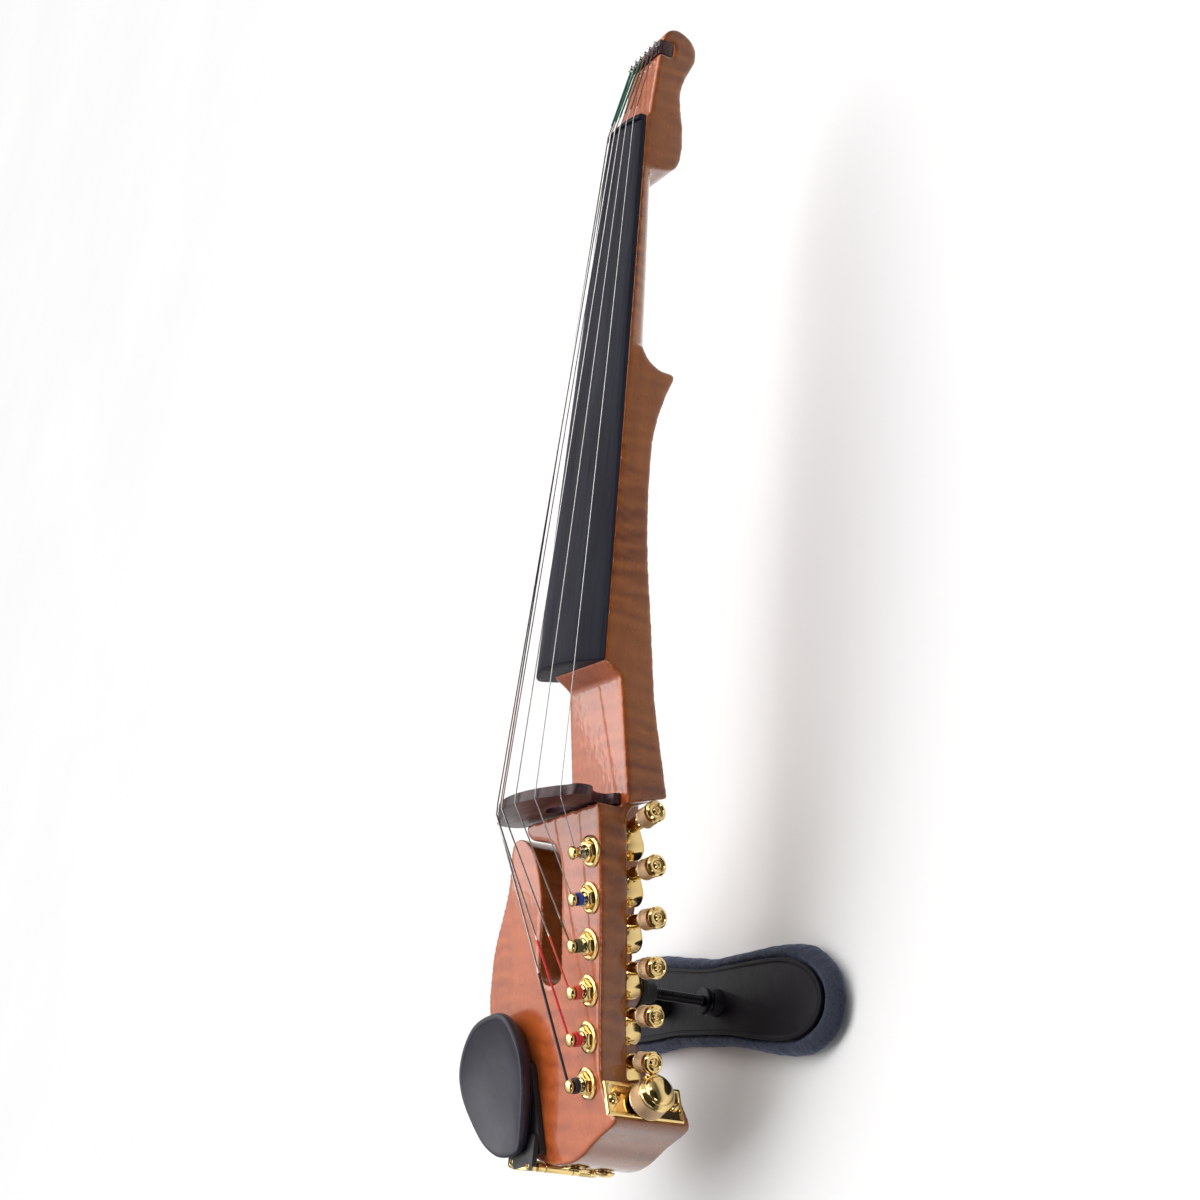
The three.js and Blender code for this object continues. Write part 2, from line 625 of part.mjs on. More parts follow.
// worm shaft and knob turn as one piece
function tunerKnob(reach) {
  const start = reach - KNOB_LENGTH;
  const profile = [
    [0, -4.6], [1.85, -4.6], [1.85, 4.4], [1.6, 4.6], [1.6, 6.9], [3.1, 7.0],
    [3.1, start - 2.2], [2.4, start - 1.6], [2.4, start - 0.2], [KNOB_RADIUS - 0.5, start],
    [KNOB_RADIUS, start + 0.6], [KNOB_RADIUS, reach - 1.1], [KNOB_RADIUS - 0.7, reach - 0.2],
    [0, reach],
  ];
  return turned(profile, 12, shift(0, WORM_OFFSET, -WORM_DEPTH).multiply(turnY(Math.PI / 2)));
}

const shelf = new THREE.Group();
shelf.applyMatrix4(shelfMatrix);
instrument.add(shelf);
KNOB_ENDS.forEach(([across, along], i) => {
  const reach = Math.sqrt(across * across + along * along - WORM_OFFSET ** 2);
  const tuner = new THREE.Group();
  tuner.position.set(0, postY(i), 0);
  tuner.rotation.z = Math.atan2(along, across) - Math.atan2(WORM_OFFSET, reach);
  shelf.add(tuner);
  addSolid(`tuner_bushing_${i + 1}`, tunerBushing(), GOLD, tuner);
  addSolid(`tuner_housing_${i + 1}`, tunerHousing(), GOLD, tuner);
  addSolid(`tuner_post_${i + 1}`, tunerPost(), GOLD, tuner);
  addSolid(`tuner_knob_${i + 1}`, tunerKnob(reach), GOLD, tuner);
});

// ---------------------------------------------------------------- control plate and volume control
const VOLUME_KNOB_RADIUS = 8.8;
const VOLUME_KNOB_HEIGHT = 14.5;

function controlPlate() {
  const bevel = 1.1;
  const ring = (inset, z) => {
    const x = PLATE_WIDTH / 2 - inset;
    const y = PLATE_HEIGHT / 2 - inset;
    return [[-x, -y, z], [x, -y, z], [x, y, z], [-x, y, z]];
  };
  const blank = loftSolid([
    ring(0, 0),
    ring(0, PLATE_THICKNESS * 0.4),
    ring(bevel, PLATE_THICKNESS),
  ]);
  return cutAll(blank, [
    cylinder(3.4, -3, 6, 16, shift(VOLUME_X, 0, 0)),
    cylinder(PLATE_SCREW_BORE, -3, 6, 12, shift(0, -PLATE_SCREW_OFFSET, 0)),
    cylinder(PLATE_SCREW_BORE, -3, 6, 12, shift(0, PLATE_SCREW_OFFSET, 0)),
  ]);
}

// cross-slotted screw
function plateScrew(y) {
  const face = PLATE_THICKNESS;
  const profile = [
    [0, -4.6], [1.1, -4.2], [1.1, face + 0.2], [2.5, face + 0.2], [2.3, face + 1.0],
    [1.3, face + 1.5], [0, face + 1.6],
  ];
  const slotZ = [face + 0.9, face + 3];
  return cutAll(turned(profile, 14), [
    box(span(1.6), span(0.3), slotZ),
    box(span(0.3), span(1.6), slotZ),
  ]).translate(0, y, 0);
}

function volumePot() {
  const top = PLATE_THICKNESS + 0.1;
  const profile = [[0, -5.3], [4.4, -5.3], [4.4, -0.4], [3.1, -0.4], [3.1, top], [0, top]];
  return turned(profile, 18).subtract(cylinder(1.75, -4.2, 6, 14)).translate(VOLUME_X, 0, 0);
}

function volumeKnob() {
  const base = PLATE_THICKNESS + 1.0;
  const rim = VOLUME_KNOB_RADIUS;
  const profile = [
    [0, -3.8], [1.6, -3.8], [1.6, base], [rim - 0.6, base], [rim, base + 0.6],
    [rim - 0.15, base + 8.6], [rim - 0.9, base + 9.5], [rim - 1.4, base + 9.7],
    [rim - 1.8, base + 11.1], [rim - 3.4, base + 13.0], [rim - 6, base + 14.1],
    [0, base + VOLUME_KNOB_HEIGHT],
  ];
  return turned(profile, 24).translate(VOLUME_X, 0, 0);
}

const control = new THREE.Group();
control.applyMatrix4(plateMatrix);
instrument.add(control);
addSolid("control_plate", controlPlate(), GOLD, control);
addSolid("plate_screw_1", plateScrew(-PLATE_SCREW_OFFSET), GOLD, control);
addSolid("plate_screw_2", plateScrew(PLATE_SCREW_OFFSET), GOLD, control);
addSolid("volume_pot", volumePot(), STEEL, control);
addSolid("volume_knob", volumeKnob(), GOLD, control);

// ---------------------------------------------------------------- tail hardware
function endButton() {
  const profile = [
    [0, -7.4], [3.1, -7.0], [3.1, 0.4], [4.6, 0.5], [4.7, 1.1], [3.9, 2.0], [2.4, 2.7], [0, 3.0],
  ];
  return turned(profile, 20, tailAxis(END_BUTTON_PLACE));
}

function outputJack() {
  const profile = [
    [0, -7.0], [4.7, -7.0], [4.7, 0.4], [6.6, 0.4], [6.6, 0.9], [5.4, 1.7], [0, 1.7],
  ];
  const axis = tailAxis(OUTPUT_JACK_PLACE);
  return turned(profile, 18, axis).subtract(cylinder(3.2, -5.5, 6, 16, axis));
}

addSolid("end_button", endButton(), GOLD);
addSolid("output_jack", outputJack(), GOLD);
addSolid("cavity_cover", box(COVER_X, COVER_Y, [-73.9, -71.9]), BLACK);

// ---------------------------------------------------------------- chin rest
const CHIN_RIM = 10; // rim height of the chin rest over the shelf's plane
const CHIN_OUTLINE = [ // (x, y) in the shelf frame, at the cup's full width
  [-64.9, -83.3], [-72.9, -86.8], [-80.9, -91.8], [-87.2, -99.2], [-91.6, -107.3],
  [-94.1, -117.3], [-93.0, -123.7], [-90.1, -129.6], [-82.4, -137.6], [-72.2, -145.2],
  [-65.9, -147.3], [-58.8, -148.1], [-52.7, -146.7], [-46.7, -144.4], [-39.9, -139.9],
  [-38.5, -131.8], [-37.8, -124.0], [-37.2, -116.6], [-37.4, -109.9], [-38.0, -103.7],
  [-39.4, -97.7], [-42.1, -92.9], [-45.6, -88.7], [-49.2, -84.9], [-54.4, -82.0],
  [-59.7, -81.7],
];
const CUP_STATIONS = [ // (scale of the outline, height from the rim), up the outside, down the dish
  [0.7, -8.6], [0.93, -5.6], [0.995, -2.8], [0.985, -0.4], [0.94, 0], [0.82, -1.3],
  [0.55, -3.6], [0.25, -4.4],
];
const SEAT_PLAN = [ // (x, y) of the bracket's part between body and cup
  [-76, -112.6], [-76, -136], [-66, -145.5], [-56, -150.5], [-44.5, -152.6], [-44.5, -112.6],
];
const LIP_PLAN = [ // (x, y) of the bracket's part that hangs past the tail
  [-68.6, -143.5], [-68.6, -158.6], [-62, -159.6], [-44.8, -159.6], [-44.8, -143.5],
];
const LIP_Z = [-30.9, -28.5];
const BARREL_PLACES = [[-49, -157.6], [-65.4, -156.4]]; // (x, y)
const BRACKET_CLEARANCE = 0.4;

// moves every point away from the plan's middle, in x and in y
function grow(plan, by) {
  const [middleX, middleY] = centreOf(plan);
  return plan.map(([x, y]) => [x + Math.sign(x - middleX) * by, y + Math.sign(y - middleY) * by]);
}

function chinCup() {
  const [middleX, middleY] = centreOf(CHIN_OUTLINE);
  const rings = CUP_STATIONS.map(([scale, z]) =>
    CHIN_OUTLINE.map(([x, y]) => [
      middleX + (x - middleX) * scale,
      middleY + (y - middleY) * scale,
      CHIN_RIM + z,
    ]));
  return cutAll(loftSolid(rings, shelfMatrix), [
    prismZ(grow(SEAT_PLAN, BRACKET_CLEARANCE), -90, 20).intersect(shelfSlab(-60, 3.4)),
    prismZ(grow(LIP_PLAN, BRACKET_CLEARANCE), -90, LIP_Z[1] + 0.3),
  ]);
}

const barrelRod = (radius, z0, z1, [x, y]) => cylinder(radius, z0, z1, 12, shift(x, y, 0));

// bracket on the body's top under the cup, with its lip past the tail
function chinBracket() {
  const seat = prismZ(SEAT_PLAN, -90, 20).intersect(shelfSlab(0.3, 3.1));
  const holes = BARREL_PLACES.map((place) => barrelRod(1.45, -60, 0, place));
  return cutAll(seat.add(prismZ(LIP_PLAN, ...LIP_Z)), holes);
}

// the hook that grips the back of the tail, with a rod up into each barrel
function clampHook() {
  const claw = box([-68.6, -45.6], [-159.6, -148.6], [HOOK_Z - 2.6, HOOK_Z - 0.3]);
  const rods = BARREL_PLACES.map((place) => barrelRod(1.0, HOOK_Z - 1.5, -46, place));
  return rods.reduce((hook, rod) => hook.add(rod), claw);
}

function clampBarrel(place) {
  const profile = [
    [0, -55.0], [1.6, -55.0], [2.0, -54.5], [2.0, -33.4], [1.6, -32.9], [1.15, -32.5],
    [1.15, -28.9], [0, -28.9],
  ];
  return cutAll(turned(profile, 16, shift(...place, 0)), [
    barrelRod(1.2, -60, -45, place),
    solid(new THREE.CylinderGeometry(0.6, 0.6, 12, 8), shift(...place, -42)), // cross hole
  ]);
}

addSolid("chin_rest_cup", chinCup(), EBONY);
addSolid("chin_rest_bracket", chinBracket(), GOLD);
addSolid("clamp_hook", clampHook(), GOLD);
BARREL_PLACES.forEach((place, i) => addSolid(`clamp_barrel_${i + 1}`, clampBarrel(place), GOLD));

// ---------------------------------------------------------------- shoulder rest
const REST_PLATE_Z = -98; // top of the rest's plate
const REST_CENTRE_X = -24;
const REST_SOCKET_RADIUS = 2.7;
const REST_SCREW_RADIUS = 2.55;
const REST_TREBLE_HALF = [ // (x from the middle of the rest, y) of the pad's outline
  [0, -55.9], [12.8, -55.2], [25.7, -54.1], [39, -53.0], [52.4, -52.3], [65.7, -52.1],
  [78.9, -54.0], [91.5, -59.8], [99.8, -68.6], [102.9, -77.9], [100.6, -88.6], [93.4, -95.5],
  [83.0, -100.1], [69.6, -101.3], [46, -99.5], [25.3, -97.1], [12, -96.9], [0, -96.9],
];
const REST_BASS_HALF = REST_TREBLE_HALF.slice(1, -1).reverse().map(([x, y]) => [-x, y]);

// the pad's outline scaled about the rest's middle, at a height from the plate's top
function restRing(scaleX, scaleY, height) {
  return REST_TREBLE_HALF.concat(REST_BASS_HALF).map(([x, y]) => [
    REST_CENTRE_X + x * scaleX,
    REST_Y + (y - REST_Y) * scaleY,
    REST_PLATE_Z + height,
  ]);
}

function restPlate() {
  const base = REST_PLATE_Z;
  const collar = [[0, base - 1], [6.2, base - 1], [5.4, base + 4.6], [0, base + 4.6]];
  let plate = loftSolid([restRing(0.91, 0.74, -3.2), restRing(0.91, 0.74, 0)]);
  for (const { x } of REST_POSTS) {
    const place = shift(x, REST_Y, 0);
    plate = plate.add(turned(collar, 18, place));
    plate = plate.subtract(cylinder(REST_SOCKET_RADIUS, base - 1.6, base + 9, 16, place));
  }
  return plate;
}

// the plate is let into the pad's top
function restFoam() {
  const pad = loftSolid([
    restRing(0.92, 0.81, -10.5),
    restRing(0.966, 0.925, -8.6),
    restRing(1, 1, -6),
    restRing(0.99, 0.975, -3),
    restRing(0.95, 0.87, -0.9),
  ]);
  return pad.subtract(loftSolid([restRing(0.916, 0.757, -3.5), restRing(0.916, 0.757, 20)]));
}

function restFoot(place, top) {
  const profile = [
    [0, top - 9.6], [4.6, top - 9.6], [5.0, top - 4.6], [7.4, top - 3.0], [7.8, top - 2.2],
    [7.8, top - 0.4], [7.2, top], [0, top],
  ];
  const socket = cylinder(REST_SOCKET_RADIUS, top - 20, top - 3.4, 16, place);
  return turned(profile, 20, place).subtract(socket);
}

// screw with a thumb wheel over the plate
function restPost(place, footTop) {
  const base = REST_PLATE_Z;
  const radius = REST_SCREW_RADIUS;
  const end = footTop - 4.0;
  const profile = [
    [0, base - 1.3], [radius, base - 1.3], [radius, base + 5.4], [6.4, base + 5.6],
    [6.4, base + 8.6], [radius, base + 8.8], [radius, end], [0, end],
  ];
  return turned(profile, 18, place);
}

addSolid("rest_plate", restPlate(), BLACK);
addSolid("rest_foam", restFoam(), FOAM);
REST_POSTS.forEach(({ x, seatZ }, i) => {
  const place = shift(x, REST_Y, 0);
  const footTop = seatZ - 0.1;
  addSolid(`rest_foot_${i + 1}`, restFoot(place, footTop), RUBBER);
  addSolid(`rest_post_${i + 1}`, restPost(place, footTop), DARK_STEEL);
});

instrument.position.set(...FRAME_SHIFT);

export default instrument;
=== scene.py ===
import math

import bpy
import numpy as np
from mathutils import Matrix, Vector


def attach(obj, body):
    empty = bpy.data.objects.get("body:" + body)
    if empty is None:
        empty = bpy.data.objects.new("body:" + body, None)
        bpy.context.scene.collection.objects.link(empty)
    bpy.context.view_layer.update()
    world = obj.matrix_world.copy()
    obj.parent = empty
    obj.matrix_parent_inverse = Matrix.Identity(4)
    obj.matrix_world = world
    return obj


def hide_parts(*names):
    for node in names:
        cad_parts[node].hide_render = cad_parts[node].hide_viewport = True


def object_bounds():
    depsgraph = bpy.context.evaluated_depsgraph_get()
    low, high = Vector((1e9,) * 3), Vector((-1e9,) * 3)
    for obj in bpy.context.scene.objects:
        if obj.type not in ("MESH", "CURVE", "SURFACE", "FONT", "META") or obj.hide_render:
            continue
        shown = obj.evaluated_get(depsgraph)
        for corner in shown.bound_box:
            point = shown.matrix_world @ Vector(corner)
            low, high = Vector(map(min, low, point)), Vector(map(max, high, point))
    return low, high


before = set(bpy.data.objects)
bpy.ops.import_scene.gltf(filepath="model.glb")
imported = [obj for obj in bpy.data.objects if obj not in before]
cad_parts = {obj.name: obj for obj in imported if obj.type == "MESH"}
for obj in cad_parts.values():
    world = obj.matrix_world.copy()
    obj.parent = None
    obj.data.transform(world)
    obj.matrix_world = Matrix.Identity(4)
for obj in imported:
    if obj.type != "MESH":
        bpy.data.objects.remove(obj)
CAD_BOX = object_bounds()
SCENE = bpy.context.scene
SCENE.view_settings.view_transform = "Standard"
SCENE.view_settings.look = "None"
SCENE.view_settings.exposure = 0.0
MM = 0.001
RAD = math.pi / 180
OFFSET = (0.024, -0.1126, 0.1085)  # metres

# ------------------------------------------------------------------ shared dimensions (mm)
FIT = 0.3  # clearance round a part let into the body
# neck and fingerboard: the half width grows by NECK_FLARE per mm from the nut to the tail
NUT_Y, NUT_HALF, NECK_FLARE, BOARD_END = 328.0, 15.7, 0.0526, 57.0
BOARD_R = 52.0
PANEL_START_Y, PANEL_START_Z, PANEL_SLOPE = 57.6, -7.5, 0.1466

# strings, from the thinnest
STRING_R = [0.2, 0.26, 0.32, 0.38, 0.45, 0.52]
STRINGS = range(len(STRING_R))
NUT_FIRST_X, NUT_PITCH = 12.6, 5.04
BAR_Y, BAR_BASE = (368.6, 376.0), -11.9

# bridge: the strings cross it on an arc, ARC_STEP degrees apart
ARC_R, ARC_Z, ARC_STEP = 47.4, -22.85, 15.3
BRIDGE_Y, BRIDGE_THICK, BRIDGE_YAW, BRIDGE_LEAN = -4.6, 4.7, 0.08, 0.07

# tuners stand in a row on a tilted shelf
SHELF_ORIGIN, SHELF_T = (19.0, -25.0, -8.5), 13.8
TUNER_PITCH, WORM_OFF, WORM_DEPTH = 20.26, 7.1, 19.5
POST_WAIST = 2.2
KNOB_L = 10.5
# x, y of each knob's end from its post, in the shelf's plane
KNOB_ENDS = [(21.4, 19.2), (22.7, 16.2), (24.0, 14.0), (24.3, 12.6), (23.7, 11.7), (22.6, 11.5)]

# control plate, upright and turned PLATE_TURN degrees from the Y axis
PLATE_TURN, PLATE_CENTRE = 26.0, (9.2, -126.7, -51.3)
PLATE_W, PLATE_H, PLATE_T = 16.0, 38.4, 1.6
VOLUME_X, PLATE_SCREW_Y = -1.0, 15

# tail
TAIL_END_Y = -156.2
BUTTON_X, BUTTON_Z = -38, -62
JACK_X, JACK_Z = -36, -46
COVER_X, COVER_Y, COVER_W, COVER_L = -45, -140.25, 42, 13.5
COVER_Z = (-73.9, -71.9)
HOOK_Z = -60.0
BARRELS = [(-49, -157.6), (-65.4, -156.4)]

# shoulder rest
REST_X, REST_Y, REST_Z = -24.0, -77.6, -98.0
REST_POSTS = [(-60.0, REST_Y), (-12.0, REST_Y)]
SEATS_Z = [-38.6, -53.8]


# ------------------------------------------------------------------ shared curves and points
def half_width(y):
    return NUT_HALF + NECK_FLARE * (NUT_Y - y)


def panel_z(y):
    return PANEL_START_Z + (y - PANEL_START_Y) * PANEL_SLOPE


def bass_x(y):
    """The spine's edge on the -X side, easing from x = -18 out to the neck's width."""
    t = min(1.0, max(0.0, (y - 110) / 80))
    blend = t * t * (3 - 2 * t)
    return -18.0 * (1 - blend) - half_width(y) * blend


def board_top(x, y):
    t = (NUT_Y - y) / (NUT_Y - BOARD_END)
    crown, tilt = 5.4 + (11.2 - 5.4) * t, -0.012 + (-0.035 + 0.012) * t
    return crown - (BOARD_R - math.sqrt(BOARD_R ** 2 - x * x)) + tilt * x


def nut_top(x):
    return 6.5 - x * x / (2 * BOARD_R)


def nut_x(i):
    return NUT_FIRST_X - i * NUT_PITCH


def anchor_point(i):
    """x, y of a string's ball end."""
    return 11.0 - 4.4 * i, 372.6 - 0.55 * i


def bridge_point(i):
    """x, z of a string where it crosses the bridge."""
    angle = (2.5 - i) * ARC_STEP * RAD
    return ARC_R * math.sin(angle), ARC_Z + ARC_R * math.cos(angle)


def bridge_y(x, z):
    return BRIDGE_Y + BRIDGE_YAW * x - BRIDGE_LEAN * (z + 2)


# ------------------------------------------------------------------ matrices
def rot(axis, degrees):
    c, s = math.cos(degrees * RAD), math.sin(degrees * RAD)
    m = np.eye(4)
    i, j = {"x": (1, 2), "y": (2, 0), "z": (0, 1)}[axis]
    m[i, i] = m[j, j] = c
    m[i, j], m[j, i] = -s, s
    return m


def shift(x, y, z):
    m = np.eye(4)
    m[:3, 3] = (x, y, z)
    return m


def place(matrix, points):
    return np.asarray(points, float) @ matrix[:3, :3].T + matrix[:3, 3]


SHELF = shift(*SHELF_ORIGIN) @ rot("z", -12.2) @ rot("y", 7.4) @ rot("x", 12.8)
PLATE = np.eye(4)  # local z is the plate's outward normal, local y is up
PLATE[:3, 0] = (-math.sin(PLATE_TURN * RAD), math.cos(PLATE_TURN * RAD), 0)
PLATE[:3, 1] = (0, 0, 1)
PLATE[:3, 2] = (math.cos(PLATE_TURN * RAD), math.sin(PLATE_TURN * RAD), 0)
PLATE[:3, 3] = PLATE_CENTRE
VOLUME_AXIS = PLATE @ shift(VOLUME_X, 0, 0)
PLATE_SCREWS = [PLATE @ shift(0, side * PLATE_SCREW_Y, 0) for side in (-1, 1)]


# ------------------------------------------------------------------ mesh objects
def shade(obj, sharp):
    """Smooth shading, with edges sharp beyond the given angle unless it is None."""
    obj.data.shade_smooth()
    if sharp is not None:
        obj.data.set_sharp_from_angle(angle=sharp * RAD)


def make(verts, faces, sharp=32.0):
    mesh = bpy.data.meshes.new("part")
    mesh.from_pydata((np.asarray(verts, float) * MM).tolist(), [], faces)
    mesh.validate()
    mesh.update()
    obj = bpy.data.objects.new("part", mesh)
    shade(obj, sharp)
    SCENE.collection.objects.link(obj)
    return obj


def solid(verts, faces, matrix, sharp):
    """A closed mesh placed by matrix, with its faces turned outward."""
    if matrix is not None:
        verts = place(matrix, verts)
    volume = 0.0
    for f in faces:
        for t in range(1, len(f) - 1):
            volume += float(np.dot(verts[f[0]], np.cross(verts[f[t]], verts[f[t + 1]])))
    if volume < 0:
        faces = [tuple(reversed(f)) for f in faces]
    return make(verts, faces, sharp)


def discard(obj):
    mesh = obj.data
    bpy.data.objects.remove(obj)
    bpy.data.meshes.remove(mesh)


def bake(obj):
    """Applies the object's modifiers into its mesh."""
    graph = bpy.context.evaluated_depsgraph_get()
    mesh = bpy.data.meshes.new_from_object(
        obj.evaluated_get(graph), preserve_all_data_layers=True, depsgraph=graph)
    old = obj.data
    obj.modifiers.clear()
    obj.data = mesh
    bpy.data.meshes.remove(old)


def boolean(target, tool, operation="DIFFERENCE"):
    """Changes target by tool and uses the tool up."""
    m = target.modifiers.new("boolean", "BOOLEAN")
    m.operation, m.object, m.solver = operation, tool, "EXACT"
    bake(target)
    discard(tool)


def bevel(obj, width, segments=3, angle=35.0):
    m = obj.modifiers.new("edge", "BEVEL")
    m.width, m.segments = width * MM, segments
    m.limit_method, m.angle_limit = "ANGLE", angle * RAD
    m.use_clamp_overlap = True
    bake(obj)
    shade(obj, 40.0)


def voxel_remesh(obj, size):
    m = obj.modifiers.new("remesh", "REMESH")
    m.mode, m.voxel_size, m.adaptivity = "VOXEL", size * MM, 0.0


def points_of(obj):
    return np.array([v.co for v in obj.data.vertices], float) / MM


def move_points(obj, points):
    obj.data.vertices.foreach_set("co", (points * MM).astype(np.float32).ravel())
    obj.data.update()


def face_centres(obj):
    return np.array([p.center for p in obj.data.polygons]) / MM


def set_faces(obj, indices):
    """Gives each face its material slot."""
    obj.data.polygons.foreach_set("material_index", np.asarray(indices, np.int32))


def join(parts):
    """One mesh from several closed shells."""
    verts, faces, base = [], [], 0
    for part in parts:
        points = points_of(part)
        verts.append(points)
        faces += [tuple(i + base for i in p.vertices) for p in part.data.polygons]
        base += len(points)
        discard(part)
    return make(np.concatenate(verts), faces, 34.0)


# ------------------------------------------------------------------ outlines
def spline(points, closed=True, step=1.2, corners=()):
    """Centripetal curve through points, with a corner at each index in corners."""
    P = [np.asarray(p, float) for p in points]
    n, curve = len(P), []
    if not closed:
        corners = (0, n - 1)

    def between(a, b, ta, tb, t):
        return (tb - t) / (tb - ta) * a + (t - ta) / (tb - ta) * b

    for i in range(n if closed else n - 1):
        j = (i + 1) % n
        p1, p2 = P[i], P[j]
        p0 = 2 * p1 - p2 if i in corners else P[i - 1]
        p3 = 2 * p2 - p1 if j in corners else P[(i + 2) % n]
        gaps = [np.linalg.norm(b - a) ** 0.5 for a, b in ((p0, p1), (p1, p2), (p2, p3))]
        t0, t1, t2, t3 = np.cumsum([0.0] + gaps)
        count = math.ceil(np.linalg.norm(p2 - p1) / step)
        for q in range(count):
            t = t1 + (t2 - t1) * q / count
            a1 = between(p0, p1, t0, t1, t)
            a2 = between(p1, p2, t1, t2, t)
            a3 = between(p2, p3, t2, t3, t)
            b1 = between(a1, a2, t0, t2, t)
            b2 = between(a2, a3, t1, t3, t)
            curve.append(between(b1, b2, t1, t2, t))
    if not closed:
        curve.append(P[-1])
    return np.array(curve)


def round_corner(before, corner, after, radius, seg, straight=180):
    """Points round one corner. Corners opener than straight degrees stay as they are."""
    u, w = before - corner, after - corner
    len_u, len_w = np.linalg.norm(u), np.linalg.norm(w)
    u, w = u / len_u, w / len_w
    angle = math.acos(max(-1, min(1, float(u @ w))))
    if angle > straight * RAD:
        return [corner]
    d = min(radius / math.tan(angle / 2), len_u * 0.45, len_w * 0.45)
    p, q = corner + u * d, corner + w * d
    steps = [s / seg for s in range(seg + 1)]
    return [(1 - t) ** 2 * p + 2 * t * (1 - t) * corner + t * t * q for t in steps]


def fillet(points, radius, seg=4):
    """Rounds the inner corners of an open line."""
    P = [np.asarray(p, float) for p in points]
    out = [P[0]]
    for i in range(1, len(P) - 1):
        out += round_corner(*P[i - 1:i + 2], radius, seg, straight=170)
    return out + [P[-1]]


def fillet_closed(points, radius):
    P = [np.asarray(p, float) for p in points]
    out = []
    for i in range(len(P)):
        out += round_corner(P[i - 1], P[i], P[(i + 1) % len(P)], radius, 5)
    return out


def extend(profile, points, radius, seg=3):
    """Carries a profile on through points, with rounded corners."""
    return profile + fillet([profile[-1]] + points, radius, seg)[1:]


def repeat(count, pitch, points):
    """Repeats (radius, height) points up a lathe profile, as for a thread."""
    return [(r, z + q * pitch) for q in range(count) for r, z in points]


def soften(plan, passes):
    for _ in range(passes):
        plan = (np.roll(plan, 1, 0) + plan * 2 + np.roll(plan, -1, 0)) / 4
    return plan


def rounded_rect(width, height, radius, seg=6):
    out = []
    for sx, sy, start in ((1, 1, 0), (-1, 1, 90), (-1, -1, 180), (1, -1, 270)):
        cx, cy = sx * (width / 2 - radius), sy * (height / 2 - radius)
        for s in range(seg + 1):
            a = (start + 90 * s / seg) * RAD
            out.append((cx + radius * math.cos(a), cy + radius * math.sin(a)))
    return np.array(out)


def anticlockwise(outline):
    p = np.asarray(outline, float)
    x, y = p.T
    return p[::-1] if np.sum(x * np.roll(y, -1) - np.roll(x, -1) * y) < 0 else p


def level(outline, z):
    """The outline as a ring at height z."""
    return np.column_stack([outline, np.full(len(outline), z)])


# ------------------------------------------------------------------ solids
def loft(rings, matrix=None, sharp=32.0):
    """Skin through rings that share one vertex count, closed by flat caps."""
    n, count = len(rings[0]), len(rings)
    faces = []
    for a in range(count - 1):
        b = a + 1
        for i in range(n):
            j = (i + 1) % n
            faces.append((a * n + i, a * n + j, b * n + j, b * n + i))
    faces.append(tuple(range(n - 1, -1, -1)))
    faces.append(tuple(range((count - 1) * n, count * n)))
    return solid(np.concatenate([np.asarray(r, float) for r in rings]), faces, matrix, sharp)


def prism_z(outline, low, high, matrix=None):
    flat = anticlockwise(outline)
    return loft([level(flat, z) for z in (low, high)], matrix)


def prism_x(profile, x0, x1):
    """profile is a list of (y, z)."""
    flat = anticlockwise(profile)
    return loft([np.column_stack([np.full(len(flat), x), flat]) for x in (x0, x1)])


def box(x, y, z, matrix=None):
    """x, y and z are (low, high) pairs."""
    return prism_z([(x[0], y[0]), (x[1], y[0]), (x[1], y[1]), (x[0], y[1])], *z, matrix)


def shelf_slab(low, high):
    """A slab wider than the body, parallel to the tuner shelf."""
    return box((-300, 300), (-300, 300), (low, high), SHELF)


def triangle_wave(x):
    return np.abs(2 * (x - np.floor(x)) - 1)


def knurl_rows(profile, low, high, pitch):
    """Adds points to the profile's long runs between low and high, four to a pitch."""
    rows = []
    for (r0, z0), (r1, z1) in zip(profile, profile[1:]):
        rows.append((r0, z0))
        inside = min(z0, z1) >= low - 1e-6 and max(z0, z1) <= high + 1e-6
        if inside and abs(z1 - z0) > 0.5:
            count = int(abs(z1 - z0) / (pitch / 4.0))
            for s in range(1, count):
                t = s / count
                rows.append((r0 + (r1 - r0) * t, z0 + (z1 - z0) * t))
    return rows + [profile[-1]]


def knurl_cut(z, turns, low, high, teeth, pitch, depth):
    """Depth of the diamond pattern at height z, for an array of turns round the axis."""
    edge = min(1.0, (z - low) / 0.4, (high - z) / 0.4)
    a = teeth * turns
    return depth * edge * (1 - np.minimum(triangle_wave(a + z / pitch),
                                          triangle_wave(a - z / pitch)))


def lathe(profile, seg, matrix=None, knurl=None):
    """Turns (radius, height) points about local Z. knurl holds knurl_cut's settings."""
    profile = [tuple(p) for p in profile]
    if knurl:
        profile = knurl_rows(profile, knurl["low"], knurl["high"], knurl["pitch"])
    theta = np.arange(seg) * 2 * math.pi / seg
    verts, rows = [], []
    for r, z in profile:
        if r < 1e-6:
            rows.append([len(verts)])
            verts.append((0, 0, z))
            continue
        radii = np.full(seg, float(r))
        if knurl and knurl["low"] < z < knurl["high"]:
            radii = radii - knurl_cut(z, theta / (2 * math.pi), **knurl)
        rows.append(list(range(len(verts), len(verts) + seg)))
        verts.extend(level(np.column_stack([radii * np.cos(theta), radii * np.sin(theta)]), z))
    faces = []
    for a, b in zip(rows, rows[1:]):
        for i in range(seg):
            j = (i + 1) % seg
            if len(a) == 1:
                faces.append((a[0], b[j], b[i]))
            elif len(b) == 1:
                faces.append((a[i], a[j], b[0]))
            else:
                faces.append((a[i], a[j], b[j], b[i]))
    return solid(np.array(verts), faces, matrix, 34.0)


